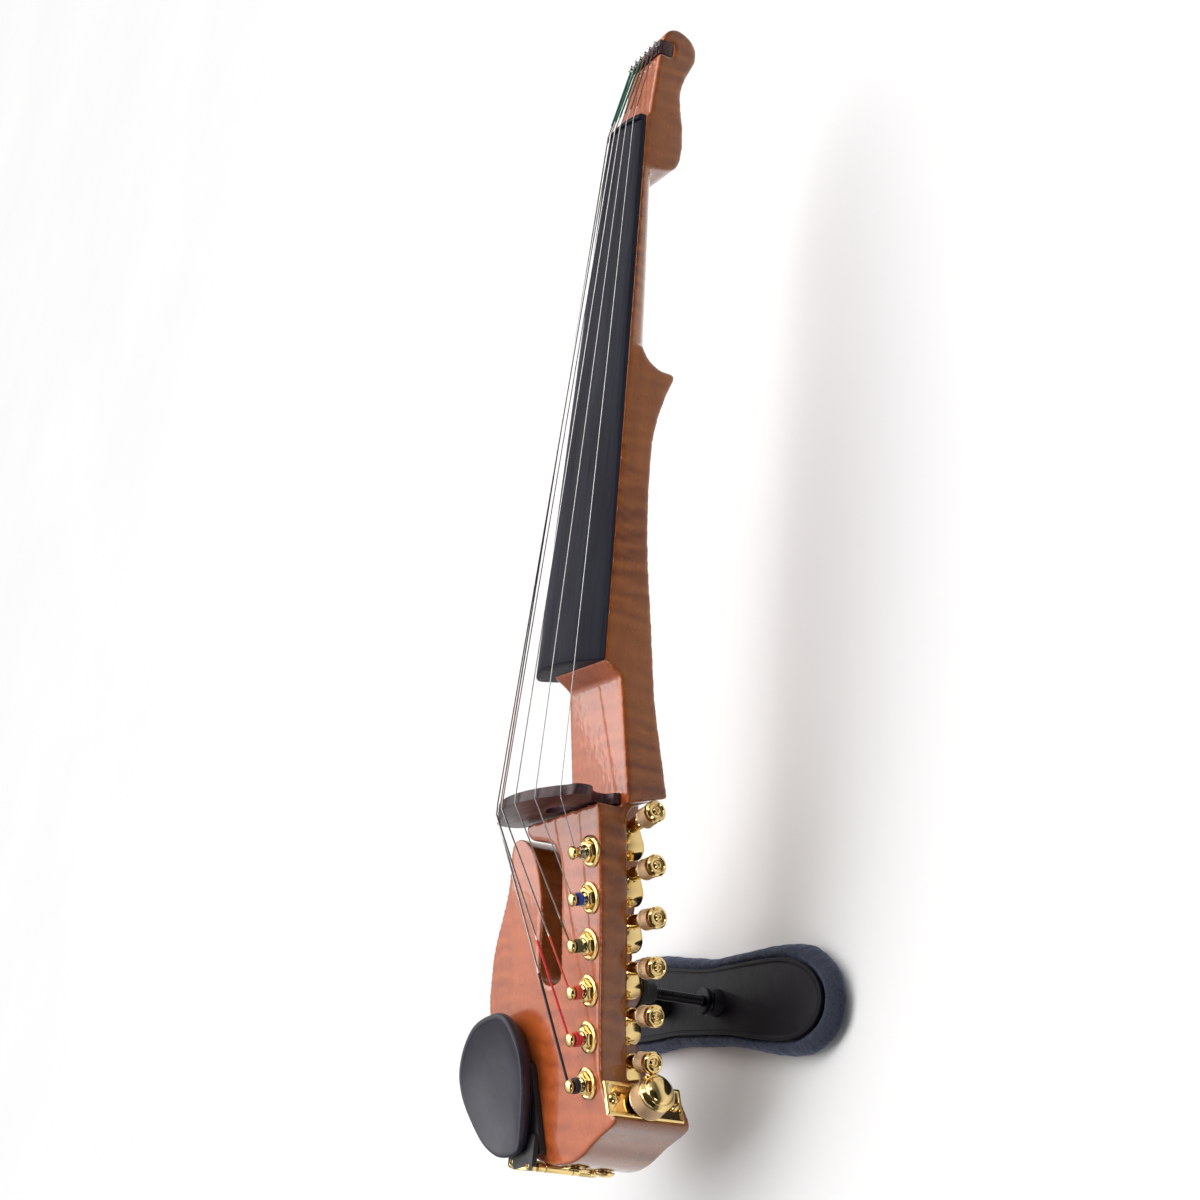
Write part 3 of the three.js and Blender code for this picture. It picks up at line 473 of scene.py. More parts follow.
def cylinder(radius, low, high, seg, matrix=None):
    return lathe([(0, low), (radius, low), (radius, high), (0, high)], seg, matrix)


def tube(path, radii, slot_at, sides=10):
    """Round bar along path. Its UV map holds (turn, metres along). slot_at takes a length."""
    P = np.asarray(path, float)
    n = len(P)
    along = np.zeros_like(P)
    along[1:-1] = P[2:] - P[:-2]
    along[0], along[-1] = P[1] - P[0], P[-1] - P[-2]
    along /= np.linalg.norm(along, axis=1)[:, None]
    u = np.cross([0.31, 0.17, 0.93], along[0])
    u /= np.linalg.norm(u)
    length = np.concatenate([[0], np.cumsum(np.linalg.norm(np.diff(P, axis=0), axis=1))])
    verts, faces, uvs, slots = [], [], [], []
    for i in range(n):
        u = u - along[i] * (u @ along[i])
        u /= np.linalg.norm(u)
        v = np.cross(along[i], u)
        for k in range(sides):
            a = 2 * math.pi * k / sides
            verts.append(P[i] + radii[i] * (math.cos(a) * u + math.sin(a) * v))
    for i in range(n - 1):
        slots += [slot_at(length[i])] * sides
        for k in range(sides):
            j = (k + 1) % sides
            low, high = i * sides, (i + 1) * sides
            faces.append((low + k, low + j, high + j, high + k))
            uvs += [((k + a) / sides, length[i + b]) for a, b in ((0, 0), (1, 0), (1, 1), (0, 1))]
    faces.append(tuple(range(sides - 1, -1, -1)))
    faces.append(tuple(range((n - 1) * sides, n * sides)))
    uvs += [(0, 0)] * sides + [(0, length[-1])] * sides
    obj = make(verts, faces, 60)
    layer = obj.data.uv_layers.new(name="along")
    layer.data.foreach_set("uv", np.array([(a, b * MM) for a, b in uvs], np.float32).ravel())
    set_faces(obj, slots + [slots[0], slots[-1]])
    return obj


# ------------------------------------------------------------------ material tools
def fill(tree, socket, value):
    """Links a socket, or sets its value. Colours are given as (r, g, b)."""
    if isinstance(value, bpy.types.NodeSocket):
        tree.links.new(value, socket)
    elif isinstance(value, tuple) and len(value) == 3 and socket.type == "RGBA":
        socket.default_value = (*value, 1)
    else:
        socket.default_value = value


def add_node(tree, kind, props=None, inputs=None):
    new = tree.nodes.new(kind)
    for key, value in (props or {}).items():
        setattr(new, key, value)
    for key, value in (inputs or {}).items():
        fill(tree, new.inputs[key], value)
    return new


def scaled(colour, factor, lift=0.0):
    return tuple(min(1, c * factor + lift) for c in colour)


class Material:
    def __init__(self, name):
        self.material = bpy.data.materials.new(name)
        self.material.use_nodes = True
        self.tree = self.material.node_tree
        self.tree.nodes.clear()
        output = self.node("ShaderNodeOutputMaterial")
        self.bsdf = self.node("ShaderNodeBsdfPrincipled")
        self.tree.links.new(self.bsdf.outputs[0], output.inputs[0])
        self.coords = self.node("ShaderNodeTexCoord").outputs["Object"]

    def node(self, kind, props=None, inputs=None):
        return add_node(self.tree, kind, props, inputs)

    def finish(self, **values):
        """Sets the surface shader's inputs and returns the material."""
        for key, value in values.items():
            fill(self.tree, self.bsdf.inputs[key.replace("_", " ")], value)
        return self.material

    def vector(self, stretch):
        if stretch is None:
            return self.coords
        return self.node("ShaderNodeMapping", None,
                         {"Vector": self.coords, "Scale": stretch}).outputs[0]

    def noise(self, scale, detail=3.0, rough=0.55, stretch=None):
        return self.node("ShaderNodeTexNoise", None, {
            "Vector": self.vector(stretch), "Scale": scale,
            "Detail": detail, "Roughness": rough}).outputs["Fac"]

    def wave(self, direction, stretch, scale, distortion, detail, detail_scale, detail_rough):
        return self.node("ShaderNodeTexWave", {"bands_direction": direction}, {
            "Vector": self.vector(stretch), "Scale": scale, "Distortion": distortion,
            "Detail": detail, "Detail Scale": detail_scale,
            "Detail Roughness": detail_rough}).outputs["Fac"]

    def cells(self, scale):
        return self.node("ShaderNodeTexVoronoi", None,
                         {"Vector": self.coords, "Scale": scale}).outputs["Distance"]

    def geometry(self, output):
        return self.node("ShaderNodeNewGeometry").outputs[output]

    def split(self, vector):
        return self.node("ShaderNodeSeparateXYZ", None, {0: vector}).outputs

    def ramp(self, factor, stops):
        new = self.node("ShaderNodeValToRGB", None, {"Fac": factor})
        elements = new.color_ramp.elements
        while len(elements) > 1:
            elements.remove(elements[-1])
        for i, (position, colour) in enumerate(stops):
            element = elements[0] if i == 0 else elements.new(position)
            element.position = position
            element.color = (*colour, 1)
        return new.outputs["Color"]

    def remap(self, value, span, to):
        return self.node("ShaderNodeMapRange", None, {
            "Value": value, "From Min": span[0], "From Max": span[1],
            "To Min": to[0], "To Max": to[1]}).outputs["Result"]

    def mix(self, factor, first, second):
        return self.node("ShaderNodeMix", {"data_type": "RGBA"},
                         {0: factor, 6: first, 7: second}).outputs[2]

    def tint(self, colour, other, where, span, amount):
        """Mixes up to amount of other into colour as where rises through span."""
        return self.mix(self.remap(where, span, (0.0, amount)), colour, other)

    def math(self, operation, a, b=0.0):
        return self.node("ShaderNodeMath", {"operation": operation}, {0: a, 1: b}).outputs[0]

    def bump(self, height, strength, distance, normal=None):
        inputs = {"Height": height, "Strength": strength, "Distance": distance}
        if normal is not None:
            inputs["Normal"] = normal
        return self.node("ShaderNodeBump", None, inputs).outputs[0]


# ------------------------------------------------------------------ materials
def maple():
    """Flamed maple under orange-brown lacquer."""
    mat = Material("maple_lacquer")
    wide = mat.wave("Y", stretch=(1.0, 1.0, 0.8), scale=33.0, distortion=7.0,
                    detail=3.0, detail_scale=0.9, detail_rough=0.6)
    narrow = mat.wave("Y", stretch=(1.4, 1.0, 1.2), scale=62.0, distortion=9.0,
                      detail=2.0, detail_scale=0.7, detail_rough=0.5)
    patch = mat.noise(scale=26.0, detail=3.0, rough=0.5, stretch=(1.0, 0.6, 1.0))
    strength = mat.remap(patch, span=(0.36, 0.66), to=(0.25, 1.0))
    bands = mat.math("ADD", mat.math("MULTIPLY", wide, 0.68), mat.math("MULTIPLY", narrow, 0.32))
    flame = mat.math("MULTIPLY", bands, strength)
    grain = mat.noise(scale=1500.0, detail=4.0, rough=0.6, stretch=(1.0, 0.05, 1.0))
    streak = mat.noise(scale=190.0, detail=3.0, rough=0.55, stretch=(1.0, 0.08, 1.0))
    colour = mat.ramp(flame, [
        (0.0, (0.66, 0.145, 0.030)), (0.45, (0.54, 0.108, 0.020)), (1.0, (0.36, 0.064, 0.011))])
    colour = mat.tint(colour, (0.34, 0.060, 0.012), where=streak, span=(0.35, 0.7), amount=0.35)
    colour = mat.tint(colour, (0.27, 0.046, 0.010), where=grain, span=(0.45, 0.75), amount=0.30)
    # painted shade: faces that turn away from up get a darker, browner copy of the colour, the
    # flame still showing with amber between the bands
    side = mat.remap(mat.split(mat.geometry("True Normal"))[2], span=(0.25, 0.6), to=(1.0, 0.0))
    brown = mat.ramp(flame, [
        (0.0, (0.34, 0.098, 0.011)), (0.5, (0.245, 0.063, 0.006)), (1.0, (0.15, 0.034, 0.003))])
    brown = mat.tint(brown, (0.15, 0.036, 0.004), where=streak, span=(0.35, 0.7), amount=0.4)
    brown = mat.tint(brown, (0.12, 0.028, 0.003), where=grain, span=(0.45, 0.75), amount=0.35)
    colour = mat.mix(side, colour, brown)
    # painted highlight: the colour is lighter along the sharp convex edges
    edge = mat.geometry("Pointiness")
    colour = mat.tint(colour, (0.66, 0.17, 0.04), where=edge, span=(0.53, 0.60), amount=0.25)
    peel = mat.noise(scale=260.0, detail=2.0, rough=0.5)
    lacquer = mat.bump(peel, strength=0.05, distance=0.0004)
    fibre = mat.bump(grain, strength=0.04, distance=0.0002, normal=lacquer)
    gloss = mat.noise(scale=90.0, detail=4.0, rough=0.6)
    return mat.finish(
        Base_Color=colour, Roughness=mat.remap(gloss, span=(0.3, 0.7), to=(0.22, 0.36)),
        Coat_Weight=1.0, Coat_Roughness=0.035, Coat_IOR=1.5, Normal=fibre,
        Coat_Normal=lacquer, Specular_IOR_Level=0.45)


def ebony():
    mat = Material("ebony_board")
    tint = (0.010, 0.010, 0.017)
    streak = mat.noise(scale=700.0, detail=4.0, rough=0.6, stretch=(1.0, 0.045, 1.0))
    broad = mat.noise(scale=120.0, detail=3.0, rough=0.5, stretch=(1.0, 0.12, 1.0))
    pores = mat.noise(scale=2600.0, detail=2.0, rough=0.5, stretch=(1.0, 0.10, 1.0))
    colour = mat.tint(tint, scaled(tint, 2.3, 0.004), where=broad, span=(0.3, 0.7), amount=0.8)
    colour = mat.tint(colour, scaled(tint, 0.45), where=streak, span=(0.5, 0.8), amount=0.6)
    normal = mat.bump(pores, strength=0.12, distance=0.0002)
    normal = mat.bump(streak, strength=0.10, distance=0.0003, normal=normal)
    return mat.finish(
        Base_Color=colour, Roughness=mat.remap(streak, span=(0.3, 0.7), to=(0.42, 0.56)),
        Normal=normal, Specular_IOR_Level=0.10)


def rosewood():
    mat = Material("rosewood")
    streak = mat.noise(scale=900.0, detail=4.0, rough=0.6, stretch=(0.08, 1.0, 1.0))
    band = mat.wave("Z", stretch=(0.3, 1.0, 1.0), scale=70.0, distortion=6.0,
                    detail=3.0, detail_scale=1.2, detail_rough=0.5)
    colour = mat.ramp(band, [
        (0.0, (0.055, 0.018, 0.022)), (0.6, (0.085, 0.028, 0.028)), (1.0, (0.030, 0.011, 0.016))])
    colour = mat.tint(colour, (0.016, 0.007, 0.010), where=streak, span=(0.5, 0.78), amount=0.7)
    normal = mat.bump(streak, strength=0.15, distance=0.0003)
    return mat.finish(
        Base_Color=colour, Roughness=mat.remap(streak, span=(0.3, 0.7), to=(0.30, 0.46)),
        Normal=normal)


def gold(name, tint, rough, scratch):
    mat = Material(name)
    cloud = mat.noise(scale=140.0, detail=3.0, rough=0.6)
    fine = mat.noise(scale=2200.0, detail=3.0, rough=0.6, stretch=(1.0, 0.2, 0.6))
    deeper = (tint[0] * 0.92, tint[1] * 0.86, tint[2] * 0.70)
    colour = mat.tint(tint, deeper, where=cloud, span=(0.35, 0.68), amount=0.6)
    spot = mat.noise(scale=900.0, detail=2.0, rough=0.6)
    colour = mat.tint(colour, (0.55, 0.34, 0.12), where=spot, span=(0.64, 0.78), amount=0.35)
    roughness = mat.math("ADD", mat.remap(cloud, span=(0.3, 0.7), to=rough),
                         mat.remap(fine, span=(0.5, 0.8), to=(0.0, 0.08)))
    # the colour darkens to brown in the hollows
    hollow = mat.remap(mat.geometry("Pointiness"), span=(0.40, 0.495), to=(0.75, 0.0))
    colour = mat.mix(hollow, colour, (0.16, 0.085, 0.035))
    return mat.finish(Base_Color=colour, Metallic=1.0, Roughness=roughness,
                      Normal=mat.bump(fine, strength=scratch, distance=0.0001))


def steel(name, tint, rough):
    mat = Material(name)
    cloud = mat.noise(scale=300.0, detail=3.0, rough=0.6)
    fine = mat.noise(scale=3000.0, detail=3.0, rough=0.6, stretch=(1.0, 1.0, 0.15))
    colour = mat.tint(tint, scaled(tint, 0.72), where=cloud, span=(0.35, 0.7), amount=0.7)
    return mat.finish(
        Base_Color=colour, Metallic=1.0, Roughness=mat.remap(fine, span=(0.3, 0.7), to=rough),
        Normal=mat.bump(fine, strength=0.05, distance=0.0001))


def winding(name, tint, metallic, pitch, rough, depth):
    """Wire or thread laid closely round a string, ridged along its UV map."""
    mat = Material(name)
    turn_and_length = mat.split(mat.node("ShaderNodeUVMap", {"uv_map": "along"}).outputs[0])
    along = mat.math("ADD", mat.math("MULTIPLY", turn_and_length[1], 1.0 / (pitch * MM)),
                     turn_and_length[0])
    ridge = mat.math("ABSOLUTE", mat.math("SINE", mat.math("MULTIPLY", along, math.pi)))
    fuzz = mat.noise(scale=5200.0, detail=3.0, rough=0.7)
    tone = mat.noise(scale=420.0, detail=2.0, rough=0.5)
    # painted shade: the colour darkens in the grooves between the turns
    gap = mat.remap(ridge, span=(0.0, 0.6), to=(0.2 if metallic else 0.55, 0.0))
    colour = mat.mix(gap, tint, scaled(tint, 0.35))
    colour = mat.tint(colour, scaled(tint, 1.35, 0.01), where=tone, span=(0.4, 0.65), amount=0.35)
    height = mat.math("ADD", ridge, mat.math("MULTIPLY", fuzz, 0.0 if metallic else 0.5))
    sheen = {} if metallic else dict(Sheen_Weight=0.35, Sheen_Roughness=0.4)
    return mat.finish(
        Base_Color=colour, Metallic=metallic,
        Roughness=mat.remap(fuzz, span=(0.3, 0.7), to=(rough - 0.05, rough + 0.08)),
        Normal=mat.bump(height, strength=depth, distance=0.00012), **sheen)


def plastic(name, tint, rough, scale=1500.0, bump=0.06, specular=0.5):
    mat = Material(name)
    fine = mat.cells(scale)
    cloud = mat.noise(scale=60.0, detail=3.0, rough=0.6)
    scuff = mat.noise(scale=800.0, detail=4.0, rough=0.7, stretch=(1.0, 0.25, 1.0))
    colour = mat.tint(tint, scaled(tint, 1.7, 0.002), where=cloud, span=(0.35, 0.68), amount=0.7)
    colour = mat.tint(colour, scaled(tint, 2.6, 0.01), where=scuff, span=(0.62, 0.8), amount=0.4)
    return mat.finish(
        Base_Color=colour, Roughness=mat.remap(scuff, span=(0.3, 0.7), to=rough),
        Normal=mat.bump(fine, strength=bump, distance=0.0002),
        Coat_Roughness=0.2, Specular_IOR_Level=specular)


def sponge():
    mat = Material("sponge_foam")
    small = mat.cells(900.0)
    large = mat.cells(330.0)
    cloud = mat.noise(scale=70.0, detail=3.0, rough=0.6)
    # painted shade: the colour is darkest in the middle of each small cell, where the bump makes
    # pits
    colour = mat.tint((0.007, 0.008, 0.014), (0.021, 0.025, 0.043),
                      where=small, span=(0.1, 0.55), amount=1.0)
    colour = mat.tint(colour, (0.026, 0.031, 0.050), where=cloud, span=(0.35, 0.68), amount=0.5)
    normal = mat.bump(small, strength=0.5, distance=0.0004)
    normal = mat.bump(large, strength=0.25, distance=0.0006, normal=normal)
    return mat.finish(Base_Color=colour, Roughness=0.94, Normal=normal, Sheen_Weight=0.4,
                      Sheen_Roughness=0.5, Sheen_Tint=(0.5, 0.6, 0.9))


MAPLE = maple()
EBONY = ebony()
CHIN_BLACK = plastic("chin_rest_black", tint=(0.019, 0.017, 0.030), rough=(0.36, 0.46),
                     scale=2600.0, bump=0.05)
ROSEWOOD = rosewood()
GOLD = gold("gold_plate", tint=(0.93, 0.69, 0.31), rough=(0.05, 0.15), scratch=0.02)
GOLD_KNURL = gold("gold_knurled", tint=(0.84, 0.60, 0.38), rough=(0.30, 0.42), scratch=0.06)
STEEL = steel("steel", tint=(0.62, 0.60, 0.58), rough=(0.22, 0.36))
BRIGHT_STEEL = steel("bright_steel", tint=(0.82, 0.82, 0.83), rough=(0.10, 0.2))
WOUND_WIRE = winding("wound_wire", tint=(0.50, 0.48, 0.47), metallic=1.0, pitch=0.22,
                     rough=0.28, depth=0.10)
PLAIN_WIRE = winding("plain_wire", tint=(0.55, 0.54, 0.54), metallic=1.0, pitch=0.9,
                     rough=0.20, depth=0.02)
SILK_COLOURS = {  # thread: (tint, roughness)
    "green": ((0.006, 0.160, 0.100), 0.65),
    "olive": ((0.095, 0.10, 0.030), 0.65),
    "brown": ((0.080, 0.055, 0.035), 0.65),
    "blue": ((0.012, 0.055, 0.42), 0.6),
    "orange": ((0.80, 0.075, 0.035), 0.6),
    "red": ((0.78, 0.018, 0.035), 0.6),
    "purple": ((0.022, 0.012, 0.028), 0.6),
}
SILK = {thread: winding(f"silk_{thread}", tint, metallic=0.0, pitch=0.30, rough=rough, depth=0.7)
        for thread, (tint, rough) in SILK_COLOURS.items()}
BLACK_STEEL = steel("black_oxide_steel", tint=(0.030, 0.030, 0.034), rough=(0.30, 0.45))
BLACK = plastic("black_plastic", tint=(0.012, 0.012, 0.015), rough=(0.42, 0.58))
COMPOSITE = plastic("rest_shell_black", tint=(0.0050, 0.0042, 0.0075), rough=(0.46, 0.58),
                    scale=1900.0, bump=0.08, specular=0.22)
FOAM = sponge()
RUBBER = plastic("foot_rubber", tint=(0.012, 0.012, 0.012), rough=(0.7, 0.85),
                 scale=1200.0, bump=0.2)


def piece(obj, name, replaced, slot, *materials, body="instrument"):
    obj.name = name
    obj.data.name = name
    obj.data.transform(Matrix.Translation(OFFSET))
    for material in materials:
        obj.data.materials.append(material)
    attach(obj, body)
    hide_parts(replaced)


# ------------------------------------------------------------------ body
HEAD_PROFILE = [  # y, z
    (304, 0), (331.8, 0), (333, -1.6), (350, -3.0), (369, -4.9), (377, -6.0), (382.4, -8.8),
    (384.8, -12.7), (384.5, -17), (381.6, -21.8), (377.5, -24.8), (372, -25.3), (366, -23.2),
    (359, -20.3), (352.8, -18.6), (344, -18.6), (336, -20), (329.5, -20.9), (323, -21.2),
    (317.7, -21.0), (313, -20.4), (309.8, -19.2), (307.6, -17.2), (306.3, -14.4), (305.5, -11),
    (304.7, -7), (304, -3),
]
NECK_DEPTHS = [  # y, depth of the rounded back
    (196, 17), (206, 15), (218, 13.2), (234, 12.5), (262, 10.9), (292, 9.0), (306, 8.4)]
SPINE_PROFILE = [  # y, z
    (211, 0), (211, -7.6), (208.4, -9), (205.2, -11.6), (203, -14.8), (201.6, -18.4),
    (201.4, -23.6), (200.2, -25.6), (197.5, -24.9), (192, -22.8), (187.3, -21.2), (176, -18.2),
    (166, -16.7), (150, -16.3), (135, -16.6), (117, -17.6), (100, -19.4), (84.4, -21.6),
    (64, -24.2), (44.2, -26.8), (30.6, -29.6), (18, -32.5), (6, -35.2), (1.4, -36.2),
    (-12, -38.4), (-12, panel_z(-12)), (51.5, panel_z(51.5)), (BOARD_END - 0.2, 0),
]
TAIL_PLAN = [  # x, y
    (28.2, -5.0), (-31.0, -10.0), (-31.8, -13.2), (-29, -16.4), (-21, -17.6), (-13, -19.2),
    (-8.4, -22.6), (-6.6, -28), (-9.8, -44.5), (-13.2, -60), (-16.4, -73), (-18.2, -76.6),
    (-21.5, -78.6), (-27.5, -79.4), (-32, -78), (-34.0, -73.5), (-31.2, -62), (-27.2, -50),
    (-25.2, -36), (-26.8, -25), (-29.6, -19.8), (-34, -16.4), (-39, -15.3), (-43.4, -16.2),
    (-46.6, -19.6), (-49.6, -28), (-53.2, -36.5), (-58.2, -44.2), (-68, -57.2), (-74, -67),
    (-78.2, -77), (-81.2, -85), (-82.8, -94), (-84, -106), (-83.2, -120), (-79.6, -132),
    (-72.6, -142.6), (-62.6, -150.6), (-51.5, -155.0), (-40, -156.2), (-27.5, -155.0),
    (-16.4, -151.2), (-6.5, -145.6), (3.6, -140.8), (9.4, -138.2), (12.1, -136.5),
    (13.4, -135.2), (13.6, -134.1), (5.9, -118.4), (6.7, -112), (9.8, -95.7), (15.6, -72),
    (21.4, -46.2), (26.2, -22), (28.2, -11),
]
TAIL_UNDER = [  # y, z of the space under the tail
    (20, -120), (20, -33), (1.4, -36.2), (-28, -41.5), (-60, -46.5), (-90, -54.5),
    (-106, -61.5), (-120, -69.5), (-132, -73.2), (-148, -74), (-175, -74), (-175, -120),
]
ARM_UNDER = [  # y, z of the space under the tail's arm on the -X side
    (5, -120), (5, -12), (-14, -19.5), (-40, -26), (-66, -33), (-84, -37.5), (-98, -42.5),
    (-110, -52), (-120, -63), (-131, -73.4), (-131, -120),
]
BAY_PLAN = [  # x, y of the open bay below the tuner shelf
    (70, 6), (70, -118.8), (1.5, -118.8), (1.5, -122.4), (0.3, -124.0), (0.3, -129.4),
    (-14.2, -129.4), (-14.2, -106), (8.3, -9.5), (8.3, 6),
]
BAY_PROFILE = [  # y, z
    (-140, 20), (-140, -130), (4, -130), (1.4, -36.2), (-4.2, -22), (-10, -18.6), (-10, 20)]
SIDE_PLAN = [(28.4, 8), (70, 8), (70, -40), (28.4, -40)]  # x, y of a cut at the shelf's +X side
SIDE_PROFILE = [(-40, 20), (-40, -80), (4, -80), (1.4, -36.2), (-4.2, -16.6), (-4.2, 20)]  # y, z


def build_head():
    edge = [(half_width(y), y) for y in (392, 340, 296, 250, 205)]
    plan = edge + [(-x, y) for x, y in reversed(edge)]
    head = prism_x(spline(HEAD_PROFILE, True, 0.9, (0, 1, 2, 26)), -30, 30)
    boolean(head, prism_z(plan, -40, 20), "INTERSECT")
    return head


def build_neck():
    rings = []
    for y in np.linspace(306, 196, 45):
        w, depth = half_width(y), float(np.interp(y, *zip(*NECK_DEPTHS)))
        ring = [(w, y, 0), (-w, y, 0), (-w, y, -1)]
        for q in range(1, 32):
            a = math.pi - math.pi * q / 32
            ring.append((w * math.cos(a), y, -1 - depth * math.sin(a)))
        rings.append(ring + [(w, y, -1)])
    return loft(rings)


def build_spine():
    plan = [(half_width(y), y) for y in (215, 180, 140, 100, 60, 20, -4.4, -12)]
    plan += [(bass_x(y), y) for y in np.linspace(-12, 215, 70)]
    spine = prism_x(spline(SPINE_PROFILE, True, 1.0, (0, 1, 7, 24, 25, 26, 27)), -40, 45)
    boolean(spine, prism_z(plan, -60, 20), "INTERSECT")
    return spine


def build_tail():
    tail = prism_z(spline(TAIL_PLAN, True, 0.9, (0, 1)), -100, 40)
    boolean(tail, shelf_slab(0, 120))
    boolean(tail, prism_x(spline(TAIL_UNDER, True, 3.0, (0, 1, 2, 10, 11)), -120, 60))
    boolean(tail, prism_x(spline(ARM_UNDER, True, 2.0, (0, 1, 9, 10)), -120, -20.5))
    return tail


def cut_bay(body):
    bay = prism_z(fillet_closed(BAY_PLAN, 2.0), -120, 40)
    boolean(bay, shelf_slab(-200 - SHELF_T, -SHELF_T), "INTERSECT")
    boolean(bay, prism_x(BAY_PROFILE, -60, 90), "INTERSECT")
    boolean(body, bay)
    side = prism_z(SIDE_PLAN, -90, 40)
    boolean(side, prism_x(SIDE_PROFILE, 20, 80), "INTERSECT")
    boolean(body, side)


def cut_fittings(body):
    """Recesses and bores for the hardware."""
    boolean(body, box((-40, 40), (BAR_Y[0] - FIT, BAR_Y[1] + FIT), (BAR_BASE - FIT, 20)))
    for i in STRINGS:
        foot = SHELF @ shift(0, -i * TUNER_PITCH, -SHELF_T - 3)
        boolean(body, cylinder(4.6, 0, SHELF_T + 6, 32, foot))
    half_w, half_h = PLATE_W / 2 + FIT, PLATE_H / 2 + FIT
    boolean(body, box((-half_w, half_w), (-half_h, half_h), (-FIT, 20), PLATE))
    boolean(body, cylinder(4.7, -5.6, 6, 32, VOLUME_AXIS))
    for screw in PLATE_SCREWS:
        boolean(body, cylinder(1.35, -5.4, 6, 16, screw))
    boolean(body, box((-90, -43.6), (-175, -148.2), (-100, HOOK_Z)))
    half_w, half_l = COVER_W / 2 + FIT, COVER_L / 2 + FIT
    boolean(body, box((COVER_X - half_w, COVER_X + half_w), (COVER_Y - half_l, COVER_Y + half_l),
                      (-90, COVER_Z[1] + FIT)))
    boolean(body, box((-62, -28), (-144, -136.5), (-90, -45)))  # cavity behind the cover
    for x, z, radius, depth in ((BUTTON_X, BUTTON_Z, 3.4, 8), (JACK_X, JACK_Z, 5.0, 7.5)):
        bottom = shift(x, TAIL_END_Y + depth, z) @ rot("x", 90)
        boolean(body, cylinder(radius, 0, depth + 20, 32, bottom))


def build_body():
    body = build_head()
    for build in (build_neck, build_spine, build_tail):
        boolean(body, build(), "UNION")
    cut_bay(body)
    for (x, y), z, rise in zip(REST_POSTS, SEATS_Z, (9, 8)):
        boolean(body, cylinder(8.1, 0, rise, 48, shift(x, y, z)), "UNION")
    cut_fittings(body)
    # an even skin, relaxed so that every edge is softly rounded
    voxel_remesh(body, 0.64)
    smooth = body.modifiers.new("smooth", "SMOOTH")
    smooth.factor, smooth.iterations = 0.5, 19
    bake(body)
    shade(body, 180.0)
    return body


piece(build_body(), "body_maple", "body", "maple", MAPLE)


# ------------------------------------------------------------------ fingerboard, nut, anchor bar
KEEL_DEPTHS = [(57, 8.8), (80, 8), (110, 6), (140, 3), (165, 1.2)]  # y, depth


def build_keel():
    """Filler under the fingerboard where it overhangs the spine on the -X side."""
    rings = []
    for y in np.linspace(165, BOARD_END, 30):
        depth = float(np.interp(y, *zip(*KEEL_DEPTHS)))
        inner, w = bass_x(y) - 0.3, half_width(y)
        span = -w - inner
        curve = spline([(inner, -depth), (inner + span * 0.35, -depth * 0.86),
                        (inner + span * 0.75, -depth * 0.35), (-w + 0.05, 0.3)], False, 1.0)
        ring = [(-w + 0.05, y, 1.0), (inner, y, 1.0)]
        last = len(curve) - 1
        for at in np.linspace(0, last, 9):
            a = int(at)
            t = at - a
            x, z = curve[a] * (1 - t) + curve[min(a + 1, last)] * t
            ring.append((x, y, z))
        rings.append(ring)
    return loft(rings)


def build_board():
    stations = [(y, 0.0) for y in np.linspace(NUT_Y - 0.2, BOARD_END + 0.6, 60)]
    stations += [(BOARD_END + 0.25, 0.18), (BOARD_END, 0.55)]  # the end's edge is eased
    rings = []
    for y, inset in stations:
        w = half_width(y) - inset * 0.6
        ring = [(w, y, 0.05), (-w, y, 0.05)]
        for q in range(49):
            x = -w + 2 * w * q / 48
            edge = min(1.0, (w - abs(x)) / 1.4)
            z = board_top(x, y) - inset - 0.35 * (1 - edge) ** 2
            ring.append((x, y, max(0.5, z)))
        rings.append(ring)
    board = loft(rings, sharp=40)
    boolean(board, build_keel(), "UNION")
    shade(board, 40)
    return board


NUT_ROWS = [  # distance beyond NUT_Y, rise of the top, inset of the ends
    (3.6, -1.9, 0.5), (3.45, -1.35, 0.1), (3.0, -0.85, 0), (2.0, -0.35, 0),
    (1.0, -0.05, 0), (0.4, 0, 0), (0.15, -0.25, 0.1), (0.1, -0.6, 0.3),
]


def build_nut():
    rings = []
    for beyond, rise, inset in NUT_ROWS:
        y, w = NUT_Y + beyond, 15.3 - inset
        ring = [(w, y, 0.05), (-w, y, 0.05)]
        for q in range(121):
            x = -w + 2 * w * q / 120
            z = nut_top(x) + rise
            for i in STRINGS:
                gap, groove = abs(x - nut_x(i)), STRING_R[i] + 0.15
                if gap < groove:
                    z -= 0.28 * (1 - (gap / groove) ** 2)
            edge = min(1.0, (w - abs(x)) / 0.9)
            ring.append((x, y, z - 0.4 * (1 - edge) ** 2))
        rings.append(ring)
    return loft(rings, sharp=40)


def build_anchor_bar():
    bar = box((-12.9, 12.9), BAR_Y, (BAR_BASE, -4.6))
    for i in STRINGS:
        x, y = anchor_point(i)
        half = STRING_R[i] + 0.35
        boolean(bar, box((x - half, x + half), (360, y - 1.0), (-5.3, 0)))
    bevel(bar, 0.35)
    return bar


piece(build_board(), "fingerboard_ebony", "fingerboard", "ebony", EBONY)
piece(build_nut(), "nut_ebony", "nut", "ebony", EBONY)
piece(build_anchor_bar(), "anchor_bar", "string_anchor_bar", "rosewood", ROSEWOOD)

# ------------------------------------------------------------------ bridge
BRIDGE_SIDES = [  # x, z, from the +X end of the top edge round to its -X end
    (33.8, 11.2), (35.2, 9.6), (35.4, 5.2), (34.2, 2.6), (32, 0.6), (27, -2.2), (23.4, -7),
    (23.6, -11.2), (26.4, -12.8), (27.4, -15.6), (-12.6, -15.6), (-14.2, -12.4), (-17, -8.2),
    (-23, -5.4), (-31, -4.6), (-37, -3.6), (-40.4, -0.6), (-40.8, 4.8), (-38.6, 9.8), (-35, 12.0),
]


